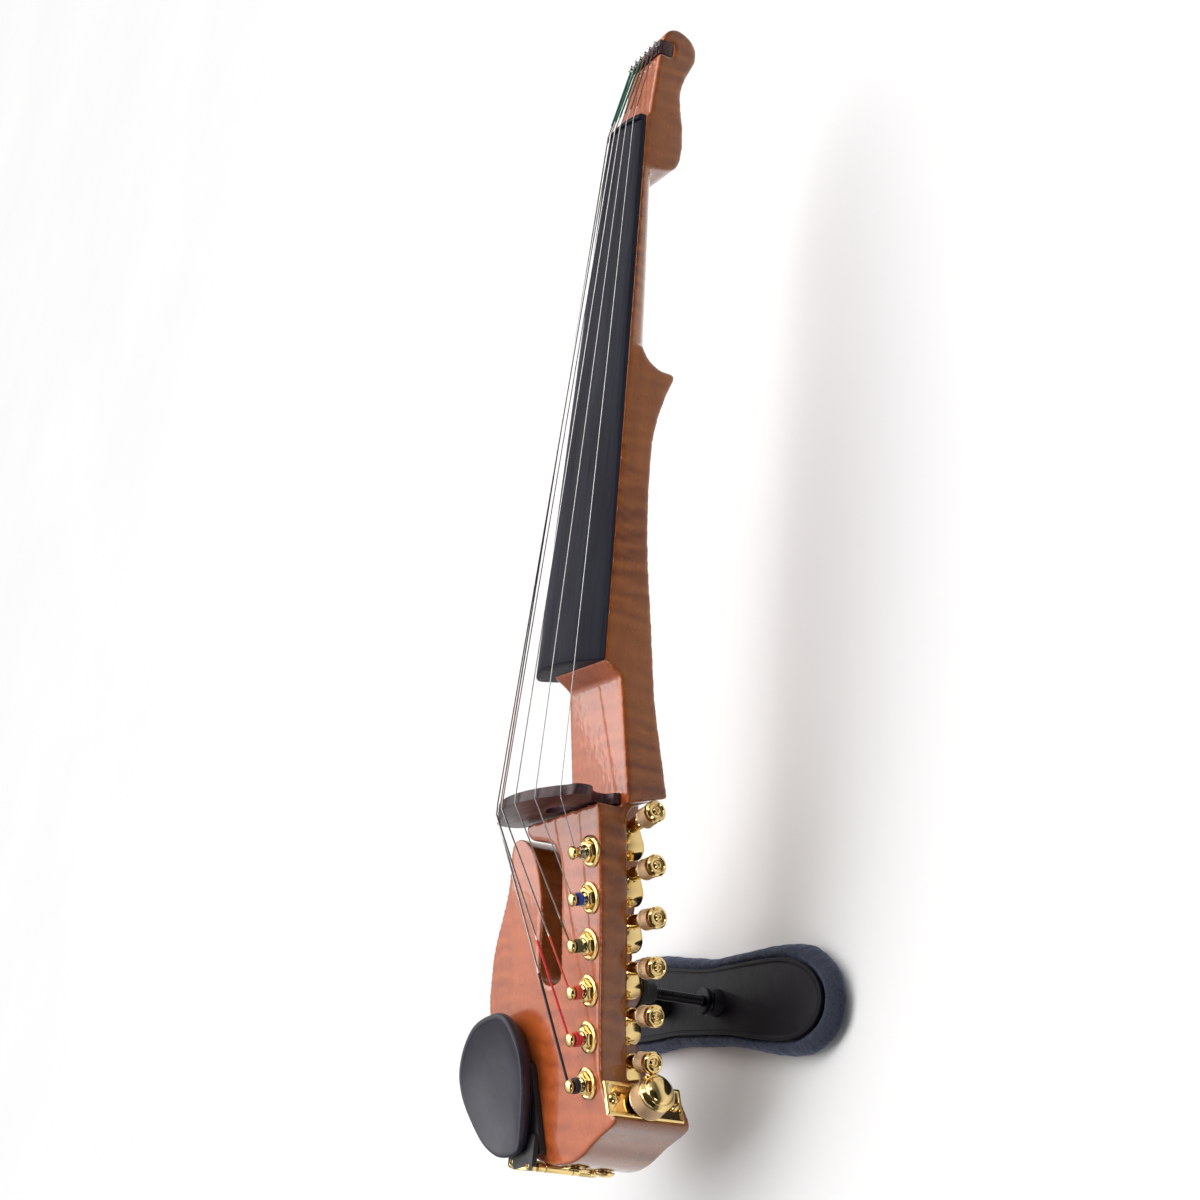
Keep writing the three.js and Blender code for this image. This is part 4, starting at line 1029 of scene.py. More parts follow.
def build_bridge():
    top = []
    for q in range(41):
        x = -31 + 62 * q / 40
        top.append((x, ARC_Z + math.sqrt(ARC_R ** 2 - x * x) - 0.85))
    n = len(top)
    outline = spline(top + BRIDGE_SIDES, True, 0.9, (n + 8, n + 9, n + 10))
    bridge = prism_z(outline, -BRIDGE_THICK / 2, BRIDGE_THICK / 2)
    angles = [q * math.pi / 20 for q in range(40)]
    boolean(bridge, prism_z([(4 + 9 * math.cos(a), 2 + 4.2 * math.sin(a)) for a in angles], -6, 6))
    for i in STRINGS:
        x, z = bridge_point(i)
        boolean(bridge, cylinder(STRING_R[i] + 0.12, -6, 6, 16, shift(x, z - 0.1, 0)))
    bevel(bridge, 0.55, angle=50)
    # stand the flat outline up, skewed by the bridge's yaw and lean
    stand = np.array([[1, 0, 0, 0],
                      [BRIDGE_YAW, -BRIDGE_LEAN, -1, BRIDGE_Y - BRIDGE_LEAN * 2],
                      [0, 1, 0, 0],
                      [0, 0, 0, 1.0]])
    move_points(bridge, place(stand, points_of(bridge)))
    return bridge


piece(build_bridge(), "bridge_rosewood", "bridge", "rosewood", ROSEWOOD)

# ------------------------------------------------------------------ strings and ball ends
HEAD_SILK = ["brown", "brown", "olive", "green", "green", "green"]
POST_SILK = [None, "blue", "olive", "orange", "red", "purple"]
SILK_FROM = [1.0, 0.975, 0.80, 0.69, 0.56, 0.58]  # where it starts, from bridge 0 to post 1
SILK_SWELL, HEAD_SWELL = 1.22, 1.25  # radius over the silk, as multiples of the string's
BALL_Z = -2.6
COIL_Z, COIL_FLOOR = 6.4, 4.75  # heights above the shelf of the coil's reference and its limit


def post_turns(i, bridge, radius):
    """The coil round a tuner post, from where the string meets it."""
    post = place(SHELF, (0, -i * TUNER_PITCH, COIL_Z))
    ux, uy, up = SHELF[:3, 0], SHELF[:3, 1], SHELF[:3, 2]
    coil_r = POST_WAIST + radius + 0.06
    d = bridge - post
    start = math.atan2(d @ uy, d @ ux) + math.acos(coil_r / math.hypot(d @ ux, d @ uy))
    pitch = 2 * radius + 0.04
    count = min(3.6, 2.9 / pitch)
    top = min(1.35, COIL_FLOOR - COIL_Z + pitch * count + 0.15)
    turns = []
    for q in range(int(count * 24) + 1):
        a = start + q * 2 * math.pi / 24
        turns.append(post + coil_r * (math.cos(a) * ux + math.sin(a) * uy)
                     + up * (top - q * pitch / 24))
    return turns


def build_string(i):
    r, silk = STRING_R[i], POST_SILK[i]
    silk_r = r * (1.0 if silk is None else SILK_SWELL)
    head_r = r * HEAD_SWELL
    anchor_x, anchor_y = anchor_point(i)
    x, z = bridge_point(i)
    nut = np.array([nut_x(i), NUT_Y + 0.6, nut_top(nut_x(i)) + r + 0.12])
    bridge = np.array([x, bridge_y(x, z), z])
    turns = post_turns(i, bridge, silk_r)
    keys = [np.array([anchor_x, anchor_y - 2.0, -2.45]), nut, nut + (0, -1.2, 0.03),
            np.array([bridge[0] * 0.996, bridge[1] + 2.6, bridge[2] + 0.08]),
            bridge + (0, -2.4, -0.05)]
    path = [keys[0]]
    for p, q in zip(keys, keys[1:] + [turns[0]]):
        n = max(1, int(np.linalg.norm(q - p) / 6.0))
        path += [p + (q - p) * s / n for s in range(1, n + 1)]
    lengths = [0.0]
    for p, q in zip(path, path[1:]):
        lengths.append(lengths[-1] + np.linalg.norm(q - p))
    to_bridge = sum(np.linalg.norm(q - p) for p, q in zip(keys, keys[1:]))
    to_post = to_bridge + np.linalg.norm(turns[0] - keys[-1])
    head_end = np.linalg.norm(keys[1] - keys[0]) - 7.5
    silk_start = to_bridge + (to_post - to_bridge) * SILK_FROM[i]

    points, radii = [path[0]], [head_r]
    for j in range(1, len(path)):
        last, p = path[j - 1], path[j]
        # paired points where silk ends or starts, so that its edge is crisp
        for at, before, after in ((head_end, head_r, r), (silk_start, r, silk_r)):
            if lengths[j - 1] < at < lengths[j]:
                t = (at - lengths[j - 1]) / (lengths[j] - lengths[j - 1])
                edge = last + (p - last) * t
                step = (p - last) / np.linalg.norm(p - last) * 0.05
                points += [edge - step, edge + step]
                radii += [before, after]
        points.append(p)
        in_silk = lengths[j] > silk_start
        radii.append(head_r if lengths[j] < head_end else (silk_r if in_silk else r))
    points += turns[1:]
    radii += [silk_r] * (len(turns) - 1)

    def slot_at(length):
        if length < head_end - 0.02:
            return 1
        return 2 if silk and length > silk_start - 0.02 else 0

    return tube(points, radii, slot_at)


def build_ball(i):
    profile = [(0.62, -1.55), (1.3, -1.6), (1.62, -1.15), (1.34, -0.6), (1.3, 0), (1.34, 0.6),
               (1.62, 1.15), (1.3, 1.6), (0.62, 1.55), (0.62, 0.0), (0.62, -1.55)]
    return lathe(fillet(profile, 0.14, 3), 32, shift(*anchor_point(i), BALL_Z) @ rot("y", 90))


for i in STRINGS:
    n, silk = i + 1, POST_SILK[i]
    piece(build_string(i), f"string_{n}_wire", f"string_{n}", "string_wire",
          PLAIN_WIRE if i == 0 else WOUND_WIRE, SILK[HEAD_SILK[i]],
          SILK[silk] if silk else PLAIN_WIRE)
    piece(build_ball(i), f"ball_end_{n}_bead", f"ball_end_{n}", "steel", BRIGHT_STEEL)

# ------------------------------------------------------------------ tuners
HOUSING_LOBE = [  # x, y of the part of the outline round the worm
    (6.25, 0), (6.1, 4.0), (6.0, 7.8), (5.0, 9.7), (3.2, 10.2),
    (-3.4, 10.2), (-5.2, 9.7), (-6.2, 7.8), (-6.3, 4.0), (-6.25, 0)]
HOUSING_ROWS = [  # scale of the outline, z
    (0.80, -24.2), (0.93, -24.0), (0.985, -23.4), (1.0, -22.6), (1.0, -15.0), (0.98, -14.45),
    (0.94, -14.15), (0.86, -14.15), (0.84, -14.6), (0.84, -22.6), (0.5, -23.2)]


def build_bushing(axis):
    """Washer and hexagonal nut on a threaded bushing."""
    washer = lathe(fillet([(3.2, 0.2), (7.0, 0.2), (7.0, 0.75), (5.9, 1.25), (5.2, 1.05),
                           (3.2, 1.05), (3.2, 0.2)], 0.18, 3), 56, axis)
    angles = [(q + 0.35) * math.pi / 3 for q in range(6)]
    nut = prism_z([(5.0 * math.cos(a), 5.0 * math.sin(a)) for a in angles], 1.1, 3.2, axis)
    chamfer = lathe([(0, 0.4), (5.5, 0.4), (5.05, 2.55), (4.2, 3.3), (0, 3.3)], 56, axis)
    boolean(nut, chamfer, "INTERSECT")
    boolean(nut, lathe([(0, -1), (3.25, -1), (3.25, 2.9), (3.7, 3.4), (3.7, 6), (0, 6)], 40, axis))
    bevel(nut, 0.12, 2, 30)
    thread = repeat(12, 1.0, [(4.2, -12.6), (3.95, -12.1)])
    sleeve = lathe([(3.15, -12.9)] + thread + [(3.9, 3.2), (3.6, 3.4), (3.15, 3.4), (3.15, -12.9)],
                   40, axis)
    return join([washer, nut, sleeve])


def build_housing(axis, worm_axis):
    """Gear housing: a rounded can about the post with a lobe for the worm."""
    arc = [(6.25 * math.cos(a), 6.25 * math.sin(a)) for a in np.linspace(math.pi, 2 * math.pi, 33)]
    outline = np.concatenate([arc, spline(HOUSING_LOBE, False, 0.8)[1:-1]])
    centre = outline.mean(0)
    can = loft([level(centre + (outline - centre) * k, z) for k, z in HOUSING_ROWS], axis)
    boolean(can, cylinder(1.78, 3, 9, 24, worm_axis))
    collar = lathe(fillet([(1.75, 5.2), (3.4, 5.2), (3.4, 6.1), (2.7, 6.5), (2.7, 6.75),
                           (1.75, 6.75), (1.75, 5.2)], 0.15, 2), 40, worm_axis)
    button = lathe([(0, -24.55), (1.6, -24.5), (2.0, -24.2), (2.0, -23.9), (0, -23.9)], 24, axis)
    return join([can, collar, button])


def build_post(axis):
    """String post: rounded head, waist for the windings, gear on its foot."""
    foot = [(0, -22.9), (1.8, -22.9), (1.8, -21.3), (2.4, -21.2), (2.4, -17.8), (2.95, -17.6),
            (2.95, 3.6), (POST_WAIST, 4.3), (POST_WAIST, 8.0)]
    head = [(2.35, 8.35), (2.75, 8.7), (2.98, 9.15), (2.98, 9.6), (2.8, 10.1), (2.35, 10.5),
            (1.6, 10.75), (0.8, 10.84), (0, 10.86)]
    stem = lathe(fillet(foot, 0.25, 3) + head, 44, axis)
    boolean(stem, cylinder(0.62, -4, 4, 16, axis @ shift(0, 0, 6.6) @ rot("x", 90)))
    teeth = []
    for q in range(14):
        for offset, r in ((-0.30, 4.1), (-0.14, 4.88), (0.14, 4.88), (0.30, 4.1)):
            a = (q + offset) * 2 * math.pi / 14
            teeth.append((r * math.cos(a), r * math.sin(a)))
    return join([stem, prism_z(teeth, -21.2, -17.8, axis)])


def mark_knurl(obj, axis, low, high, radius):
    """Second material on the faces between low and high, outside radius."""
    centres = place(np.linalg.inv(axis), face_centres(obj))
    height, reach = centres[:, 2], np.hypot(centres[:, 0], centres[:, 1])
    set_faces(obj, (height > low) & (height < high) & (reach > radius))


def build_knob(axis, end):
    """Knob with its worm shaft. Its outer face is near z = end on the worm's axis."""
    base = end - KNOB_L
    profile = [(0, -4.6), (1.4, -4.6)]
    profile += repeat(9, 0.95, [(1.5, -4.3), (1.85, -4.0), (1.85, -3.75), (1.5, -3.45)])
    profile += [(1.6, 4.6), (1.6, 6.9)]
    profile = extend(profile, [
        (2.9, 7.0), (3.1, 7.6), (3.1, base - 2.4), (2.3, base - 1.7), (2.3, base - 0.3),
        (4.1, base), (4.72, base + 0.5)], 0.3)
    profile += [(4.74, base + 0.7), (4.74, end - 3.5), (4.72, end - 3.35), (4.4, end - 3.25),
                (4.4, end - 3.0)]
    profile = extend(profile, [
        (4.86, end - 2.85), (4.86, end - 1.0), (4.1, end - 0.1), (3.45, end - 0.05),
        (3.15, end - 0.45), (2.15, end - 0.62), (2.1, end - 0.95), (1.75, end - 0.95)], 0.12)
    profile = extend(profile, [
        (1.72, end - 0.3), (1.35, end + 0.02), (0.95, end + 0.08), (0.85, end - 0.2),
        (0.85, end - 0.7), (0, end - 0.75)], 0.1)
    knob = lathe(profile, 150, axis,
                 dict(low=base + 0.65, high=end - 3.4, teeth=30, pitch=1.0, depth=0.36))
    mark_knurl(knob, axis, base + 0.5, end - 3.4, 4.0)
    return knob


for i, (x, y) in enumerate(KNOB_ENDS):
    n = i + 1
    reach = math.sqrt(x * x + y * y - WORM_OFF ** 2)
    turn = (math.atan2(y, x) - math.atan2(WORM_OFF, reach)) / RAD
    axis = SHELF @ shift(0, -i * TUNER_PITCH, 0) @ rot("z", turn)
    worm_axis = axis @ shift(0, WORM_OFF, -WORM_DEPTH) @ rot("y", 90)
    piece(build_bushing(axis), f"tuner_bushing_{n}_nut", f"tuner_bushing_{n}", "gold", GOLD)
    piece(build_housing(axis, worm_axis), f"tuner_housing_{n}_can", f"tuner_housing_{n}",
          "gold", GOLD)
    piece(build_post(axis), f"tuner_post_{n}_gear", f"tuner_post_{n}", "gold", GOLD,
          body=f"post_{n}")
    piece(build_knob(worm_axis, reach), f"tuner_knob_{n}_knurled", f"tuner_knob_{n}", "gold",
          GOLD, GOLD_KNURL, body=f"knob_{n}")

# ------------------------------------------------------------------ control plate and volume
PLATE_ROWS = [  # inset, corner radius, z
    (0, 0.4, 0.02), (0, 0.4, 0.75), (0.1, 0.5, 1.1), (0.35, 0.55, 1.45), (0.75, 0.5, 1.6),
    (1.15, 0.45, 1.6), (1.45, 0.4, 1.45), (1.7, 0.35, 1.0), (1.9, 0.3, 0.78),
]
VOLUME_R = 8.8


def build_control_plate():
    plate = loft([level(rounded_rect(PLATE_W - 2 * inset, PLATE_H - 2 * inset, radius), z)
                  for inset, radius, z in PLATE_ROWS], PLATE)
    boolean(plate, cylinder(3.4, -3, 6, 40, VOLUME_AXIS))
    for screw in PLATE_SCREWS:
        boolean(plate, cylinder(1.35, -3, 6, 24, screw))
    shade(plate, 30)
    return plate


def build_plate_screw(axis):
    head = PLATE_T - 0.6
    profile = [(0, -4.7), (0.3, -4.6), (1.1, -3.9)]
    profile += repeat(6, 0.6, [(0.85, -3.6), (1.1, -3.35)]) + [(1.1, head - 0.2)]
    profile += fillet([(1.1, head - 0.1), (2.5, head), (2.6, head + 0.45), (2.1, head + 1.1),
                       (1.2, head + 1.5), (0, head + 1.62)], 0.3, 4)[1:]
    screw = lathe(profile, 40, axis)
    for x, y in ((1.7, 0.32), (0.32, 1.7)):  # cross slot
        boolean(screw, box((-x, x), (-y, y), (head + 0.75, head + 4), axis))
    shade(screw, 30)
    return screw


def build_volume_pot():
    top = PLATE_T + 0.1
    return lathe(fillet([(0, -5.3), (4.4, -5.3), (4.4, -0.5), (3.1, -0.4), (3.1, top),
                         (1.8, top), (1.8, -4.2), (0, -4.2)], 0.3, 3), 48, VOLUME_AXIS)


def build_volume_knob():
    base, rim = PLATE_T + 1.0, VOLUME_R
    profile = [(0, -3.8), (1.6, -3.8), (1.6, base + 0.3), (rim - 1.4, base + 0.3)]
    profile = extend(profile, [
        (rim - 1.0, base), (rim - 0.3, base + 0.1), (rim - 0.05, base + 0.7)], 0.15)
    profile += [(rim - 0.05, base + 0.9), (rim - 0.12, base + 8.5), (rim - 0.2, base + 8.7),
                (rim - 0.45, base + 8.9)]
    profile = extend(profile, [
        (rim - 0.5, base + 9.2), (rim - 0.15, base + 9.5), (rim - 0.35, base + 10.2),
        (rim - 1.7, base + 11.3)], 0.3, 4)
    profile += [(rim - 2.1, base + 11.3), (rim - 2.4, base + 11.7)]
    for q in range(1, 12):  # dome
        a = q / 12 * math.pi / 2
        profile.append(((rim - 2.4) * math.cos(a), base + 11.7 + 2.8 * math.sin(a)))
    profile.append((0, base + 14.5))
    knob = lathe(profile, 232, VOLUME_AXIS,
                 dict(low=base + 0.8, high=base + 8.7, teeth=46, pitch=1.25, depth=0.55))
    mark_knurl(knob, VOLUME_AXIS, base + 0.8, base + 8.7, 7.5)
    return knob


piece(build_control_plate(), "control_plate_gold", "control_plate", "gold", GOLD)
for n, (screw, turn) in enumerate(zip(PLATE_SCREWS, (-5, 45)), 1):
    piece(build_plate_screw(screw @ rot("z", turn)), f"plate_screw_{n}_head",
          f"plate_screw_{n}", "gold", GOLD)
piece(build_volume_pot(), "volume_pot_can", "volume_pot", "steel", STEEL)
piece(build_volume_knob(), "volume_knob_knurled", "volume_knob", "gold", GOLD, GOLD_KNURL,
      body="volume")


# ------------------------------------------------------------------ tail hardware
def build_end_button():
    axis = shift(BUTTON_X, TAIL_END_Y, BUTTON_Z) @ rot("x", 90)
    return lathe(fillet([(0, -7.4), (2.6, -7.2), (3.1, -6.8), (3.1, 0.4), (4.6, 0.5), (4.7, 1.1),
                         (3.9, 2.0), (2.4, 2.7), (0, 3.0)], 0.35, 5), 56, axis)


def build_output_jack():
    axis = shift(JACK_X, TAIL_END_Y, JACK_Z) @ rot("x", 90)
    barrel = lathe(fillet([(0, -7.0), (4.7, -7.0), (4.7, 0.4), (6.6, 0.4), (6.6, 0.85),
                           (5.6, 1.1), (5.3, 1.7), (3.4, 1.7), (3.2, 1.5), (3.2, -5.5),
                           (0, -5.5)], 0.15, 3), 56, axis)
    angles = [q * math.pi / 3 for q in range(6)]
    nut = prism_z([(5.9 * math.cos(a), 6.1 * math.sin(a)) for a in angles], 0.8, 1.5, axis)
    boolean(nut, cylinder(4.9, -2, 6, 40, axis))
    bevel(nut, 0.15, 2)
    return join([barrel, nut])


def build_cover():
    cover = prism_z(rounded_rect(COVER_W, COVER_L, 1.6) + (COVER_X, COVER_Y), *COVER_Z)
    bevel(cover, 0.3)
    return cover


piece(build_end_button(), "end_button_gold", "end_button", "gold", GOLD)
piece(build_output_jack(), "output_jack_socket", "output_jack", "gold", GOLD)
piece(build_cover(), "cavity_cover_plate", "cavity_cover", "black_plastic", BLACK)

# ------------------------------------------------------------------ chin rest
CHIN_PLAN = [  # x, y in the shelf's frame
    (-64.9, -83.3), (-72.9, -86.8), (-80.9, -91.8), (-87.2, -99.2), (-91.6, -107.3),
    (-94.1, -117.3), (-93.0, -123.7), (-90.1, -129.6), (-82.4, -137.6), (-72.2, -145.2),
    (-65.9, -147.3), (-58.8, -148.1), (-52.7, -146.7), (-46.7, -144.4), (-39.9, -139.9),
    (-38.5, -131.8), (-37.8, -124.0), (-37.2, -116.6), (-37.4, -109.9), (-38.0, -103.7),
    (-39.4, -97.7), (-42.1, -92.9), (-45.6, -88.7), (-49.2, -84.9), (-54.4, -82.0),
    (-59.7, -81.7),
]
CUP_Z = 10  # rim height above the shelf's plane
CUP_SECTION = [  # scale of the plan, z from the rim; up the outside, then down into the bowl
    (0.30, -8.9), (0.70, -8.6), (0.93, -5.6), (0.995, -2.8), (1.0, -1.3), (0.985, -0.35),
    (0.962, 0.02), (0.94, 0.0), (0.90, -0.45), (0.82, -1.4), (0.68, -2.75), (0.52, -3.75),
    (0.33, -4.3), (0.12, -4.5),
]
BRACKET_SEAT = [  # x, y of the bracket's part under the cup
    (-76, -112.6), (-76, -136), (-66, -145.5), (-56, -150.5), (-44.5, -152.6), (-44.5, -112.6)]
BRACKET_LIP = [  # x, y of the tab that carries the barrels
    (-68.6, -143.5), (-68.6, -158.6), (-62, -159.6), (-44.8, -159.6), (-44.8, -143.5)]
HOOK_PLAN = [(-68.6, -159.6), (-45.6, -159.6), (-45.6, -148.6), (-68.6, -148.6)]  # x, y


def grow(plan, d):
    """Moves each point away from the plan's middle by d in x and in y."""
    cx, cy = np.mean(plan, 0)
    return [(x + math.copysign(d, x - cx), y + math.copysign(d, y - cy)) for x, y in plan]


def build_cup():
    plan = soften(spline(CHIN_PLAN, True, 1.6), 6)
    centre = np.mean(CHIN_PLAN, 0)
    rings = [level(centre + (plan - centre) * k, CUP_Z + z)
             for k, z in spline(CUP_SECTION, False, 0.06)]
    cup = loft(rings, SHELF, sharp=None)
    # clearance for the bracket
    seat = prism_z(grow(BRACKET_SEAT, 0.4), -90, 20)
    boolean(seat, shelf_slab(-60, 3.4), "INTERSECT")
    boolean(cup, seat)
    boolean(cup, prism_z(grow(BRACKET_LIP, 0.4), -90, -28.2))
    shade(cup, 40)
    return cup


def build_bracket():
    bracket = prism_z(fillet_closed(BRACKET_SEAT, 2.5), -90, 20)
    boolean(bracket, shelf_slab(0.3, 3.1), "INTERSECT")
    boolean(bracket, prism_z(fillet_closed(BRACKET_LIP, 2.0), -30.9, -28.5), "UNION")
    for x, y in BARRELS:
        boolean(bracket, cylinder(1.4, -60, 0, 32, shift(x, y, 0)))
    bevel(bracket, 0.25, 2, 45)
    # the part under the cup is faced with black cork, the tab is bare metal
    set_faces(bracket, face_centres(bracket)[:, 1] > -155.3)
    return bracket


def build_hook():
    hook = prism_z(fillet_closed(HOOK_PLAN, 1.6), HOOK_Z - 2.6, HOOK_Z - 0.3)
    bevel(hook, 0.4)
    profile = [(0, HOOK_Z - 1.5), (1.0, HOOK_Z - 1.5)]
    profile += repeat(20, 0.68, [(0.86, HOOK_Z - 0.2), (1.0, HOOK_Z + 0.14)])
    profile += [(0.9, -46.3), (0.7, -46), (0, -46)]
    return join([hook] + [lathe(profile, 24, shift(x, y, 0)) for x, y in BARRELS])


def build_barrel(x, y):
    barrel = lathe(fillet([
        (0, -45), (1.2, -45), (1.2, -55.0), (1.6, -55.0), (2.0, -54.5), (2.0, -51.4),
        (1.8, -51.2), (1.8, -50.8), (2.0, -50.6), (2.0, -37.4), (1.8, -37.2), (1.8, -36.8),
        (2.0, -36.6), (2.0, -33.4), (1.6, -32.9), (1.15, -32.5), (1.15, -28.9), (0, -28.9),
    ], 0.12, 3), 48, shift(x, y, 0))
    boolean(barrel, cylinder(0.6, -6, 6, 20, shift(x, y, -42) @ rot("x", 90)))
    shade(barrel, 34)
    return barrel


piece(build_cup(), "chin_rest_cup_shell", "chin_rest_cup", "ebony", CHIN_BLACK)
piece(build_bracket(), "chin_bracket", "chin_rest_bracket", "gold", GOLD, BLACK)
piece(build_hook(), "clamp_hook_legs", "clamp_hook", "gold", GOLD)
for n, (x, y) in enumerate(BARRELS, 1):
    piece(build_barrel(x, y), f"clamp_barrel_{n}_turn", f"clamp_barrel_{n}", "gold", GOLD,
          body=f"barrel_{n}")

# ------------------------------------------------------------------ shoulder rest
REST_HALF = [  # x from REST_X, y; mirrored for the -X half
    (0, -55.9), (12.8, -55.2), (25.7, -54.1), (39, -53.0), (52.4, -52.3), (65.7, -52.1),
    (78.9, -54.0), (91.5, -59.8), (99.8, -68.6), (102.9, -77.9), (100.6, -88.6), (93.4, -95.5),
    (83.0, -100.1), (69.6, -101.3), (46, -99.5), (25.3, -97.1), (12, -96.9), (0, -96.9),
]
REST_PLAN = soften(
    spline(REST_HALF + [(-x, y) for x, y in reversed(REST_HALF[1:-1])], True, 1.6), 4)
SHELL_ROWS = [  # scale in x, scale in y, z from REST_Z
    (0.897, 0.69, -3.2), (0.906, 0.727, -2.5), (0.91, 0.74, -1.2), (0.9085, 0.735, -0.35),
    (0.904, 0.717, 0), (0.893, 0.675, 0.02), (0.889, 0.66, -0.25), (0.883, 0.636, -0.3),
    (0.878, 0.616, -0.02),
]
FOAM_ROWS = [  # as SHELL_ROWS, from the lip round the shell to the underside
    (0.917, 0.762, -3.4), (0.918, 0.765, -2.4), (0.922, 0.785, -1.2), (0.934, 0.825, -0.75),
    (0.95, 0.87, -1.0), (0.969, 0.918, -1.7), (0.986, 0.962, -3.0), (0.997, 0.991, -4.6),
    (1.0, 1.0, -6.0), (0.994, 0.983, -7.5), (0.966, 0.93, -9.2), (0.942, 0.87, -10.1),
    (0.90, 0.76, -10.5),
]


def rest_ring(scale_x, scale_y, z):
    """The rest's outline scaled about its middle, at height z."""
    x, y = REST_PLAN.T
    flat = np.column_stack([REST_X + x * scale_x, REST_Y + (y - REST_Y) * scale_y])
    return level(flat, z)


def build_shell():
    shell = loft([rest_ring(kx, ky, REST_Z + z) for kx, ky, z in SHELL_ROWS])
    for x, y in REST_POSTS:
        boss = lathe(fillet([(0, REST_Z - 1), (6.6, REST_Z - 1), (6.2, REST_Z + 0.8),
                             (5.4, REST_Z + 4.6), (0, REST_Z + 4.6)], 0.5, 4), 48, shift(x, y, 0))
        boolean(shell, boss, "UNION")
        boolean(shell, cylinder(2.7, REST_Z - 1.6, REST_Z + 9, 40, shift(x, y, 0)))
    shade(shell, 34)
    return shell


def foam_face(edge, z, steps):
    """Rings drawn in from an edge towards a narrow loop along the rest's middle."""
    x, y, _ = edge.T
    loop = np.column_stack([REST_X + (x - REST_X) * 0.86, REST_Y + (y - REST_Y) * 0.05])
    return [level(edge[:, :2] * (1 - t) + loop * t, z) for t in steps]


def open_cells(points):
    """Height of shallow pits at random places, looked up on a 3 mm grid."""
    rng = np.random.default_rng(7)
    grid = {}
    for pit in rng.uniform(points.min(0), points.max(0), (9000, 3)):
        grid.setdefault(tuple((pit // 3).astype(int)), []).append(pit)
    height = np.zeros(len(points))
    for j, point in enumerate(points):
        pits = grid.get(tuple((point // 3).astype(int)), ())
        nearest = min([9.0] + [((pit - point) ** 2).sum() for pit in pits])
        height[j] = -0.32 * math.exp(-nearest / 0.8)
    return height


def build_foam():
    """Sponge pad: bulging rim, flat underside, a lip round the shell."""
    # x and y scales are stretched while the curve is drawn, to weigh about the same as z
    rows = [(kx * 100, ky * 25, REST_Z + z) for kx, ky, z in FOAM_ROWS]
    rings = [rest_ring(*row) for row in spline(rows, False, 0.5) * np.array([0.01, 0.04, 1.0])]
    top = foam_face(rings[0], REST_Z - 3.5, (1.0, 0.6, 0.25))
    bottom = foam_face(rings[-1], REST_Z - 10.5, (0.3, 0.6, 0.85, 1.0))
    foam = loft(top + rings + bottom, sharp=None)
    voxel_remesh(foam, 1.0)
    bake(foam)
    shade(foam, 180)
    points = points_of(foam)
    normals = np.array([v.normal for v in foam.data.vertices], float)
    # cut sponge: slow waviness and open cells, except on the bonded and standing faces
    x, y, z = points.T
    wavy = (0.22 * np.sin(x * 0.21 + 1.3 * np.sin(y * 0.17)) * np.cos(z * 0.33 + y * 0.11)
            + 0.12 * np.sin(x * 0.61 + z * 0.7) * np.sin(y * 0.53 + 1.0))
    inside = (np.abs(x - REST_X) < 93.0) & (np.abs(y - REST_Y) < 15.5)
    flat = (z < REST_Z - 10.2) | ((z > REST_Z - 3.8) & (z < REST_Z - 2.4) & inside)
    height = np.where(flat, 0.0, wavy + open_cells(points) - 0.2)
    move_points(foam, points + normals * height[:, None])
    return foam


def build_foot(x, y, top):
    profile = [(0, -3.4), (2.7, -3.4), (2.7, -9.6), (4.4, -9.6), (4.9, -8.8), (5.0, -4.8),
               (7.2, -3.2), (7.8, -2.3), (7.8, -0.6), (7.1, 0), (6.2, -0.35), (5.6, 0),
               (4.2, -0.35), (3.6, 0), (0, 0)]
    return lathe(fillet([(r, top + z) for r, z in profile], 0.35, 4), 56, shift(x, y, 0))


def post_thread(start, end):
    return repeat(math.ceil(end - start), 1.0, [(2.55, start), (2.25, start + 0.5)])


def build_height_screw(x, y, top):
    """Threaded post with a knurled wheel."""
    profile = [(0, REST_Z - 1.3), (2.2, REST_Z - 1.3)]
    profile += post_thread(REST_Z - 1.0, REST_Z + 5.0) + [(2.3, REST_Z + 5.3)]
    profile += fillet([(2.3, REST_Z + 5.4), (6.0, REST_Z + 5.6), (6.4, REST_Z + 6.0),
                       (6.4, REST_Z + 8.3), (6.0, REST_Z + 8.7), (2.3, REST_Z + 8.8)], 0.2, 3)[1:]
    profile += post_thread(REST_Z + 9.2, top - 5.0)
    profile += [(2.3, top - 4.6), (1.9, top - 4.0), (0, top - 4.0)]
    return lathe(profile, 72, shift(x, y, 0),
                 dict(low=REST_Z + 5.9, high=REST_Z + 8.4, teeth=24, pitch=1.2, depth=0.4))


piece(build_shell(), "rest_shell", "rest_plate", "black_composite", COMPOSITE)
piece(build_foam(), "rest_foam_pad", "rest_foam", "foam", FOAM)
for n, ((x, y), seat) in enumerate(zip(REST_POSTS, SEATS_Z), 1):
    top = seat - 0.1
    piece(build_foot(x, y, top), f"rest_foot_{n}_pad", f"rest_foot_{n}", "rubber", RUBBER)
    piece(build_height_screw(x, y, top), f"rest_post_{n}_screw", f"rest_post_{n}",
          "black_steel", BLACK_STEEL, body=f"height_screw_{n}")


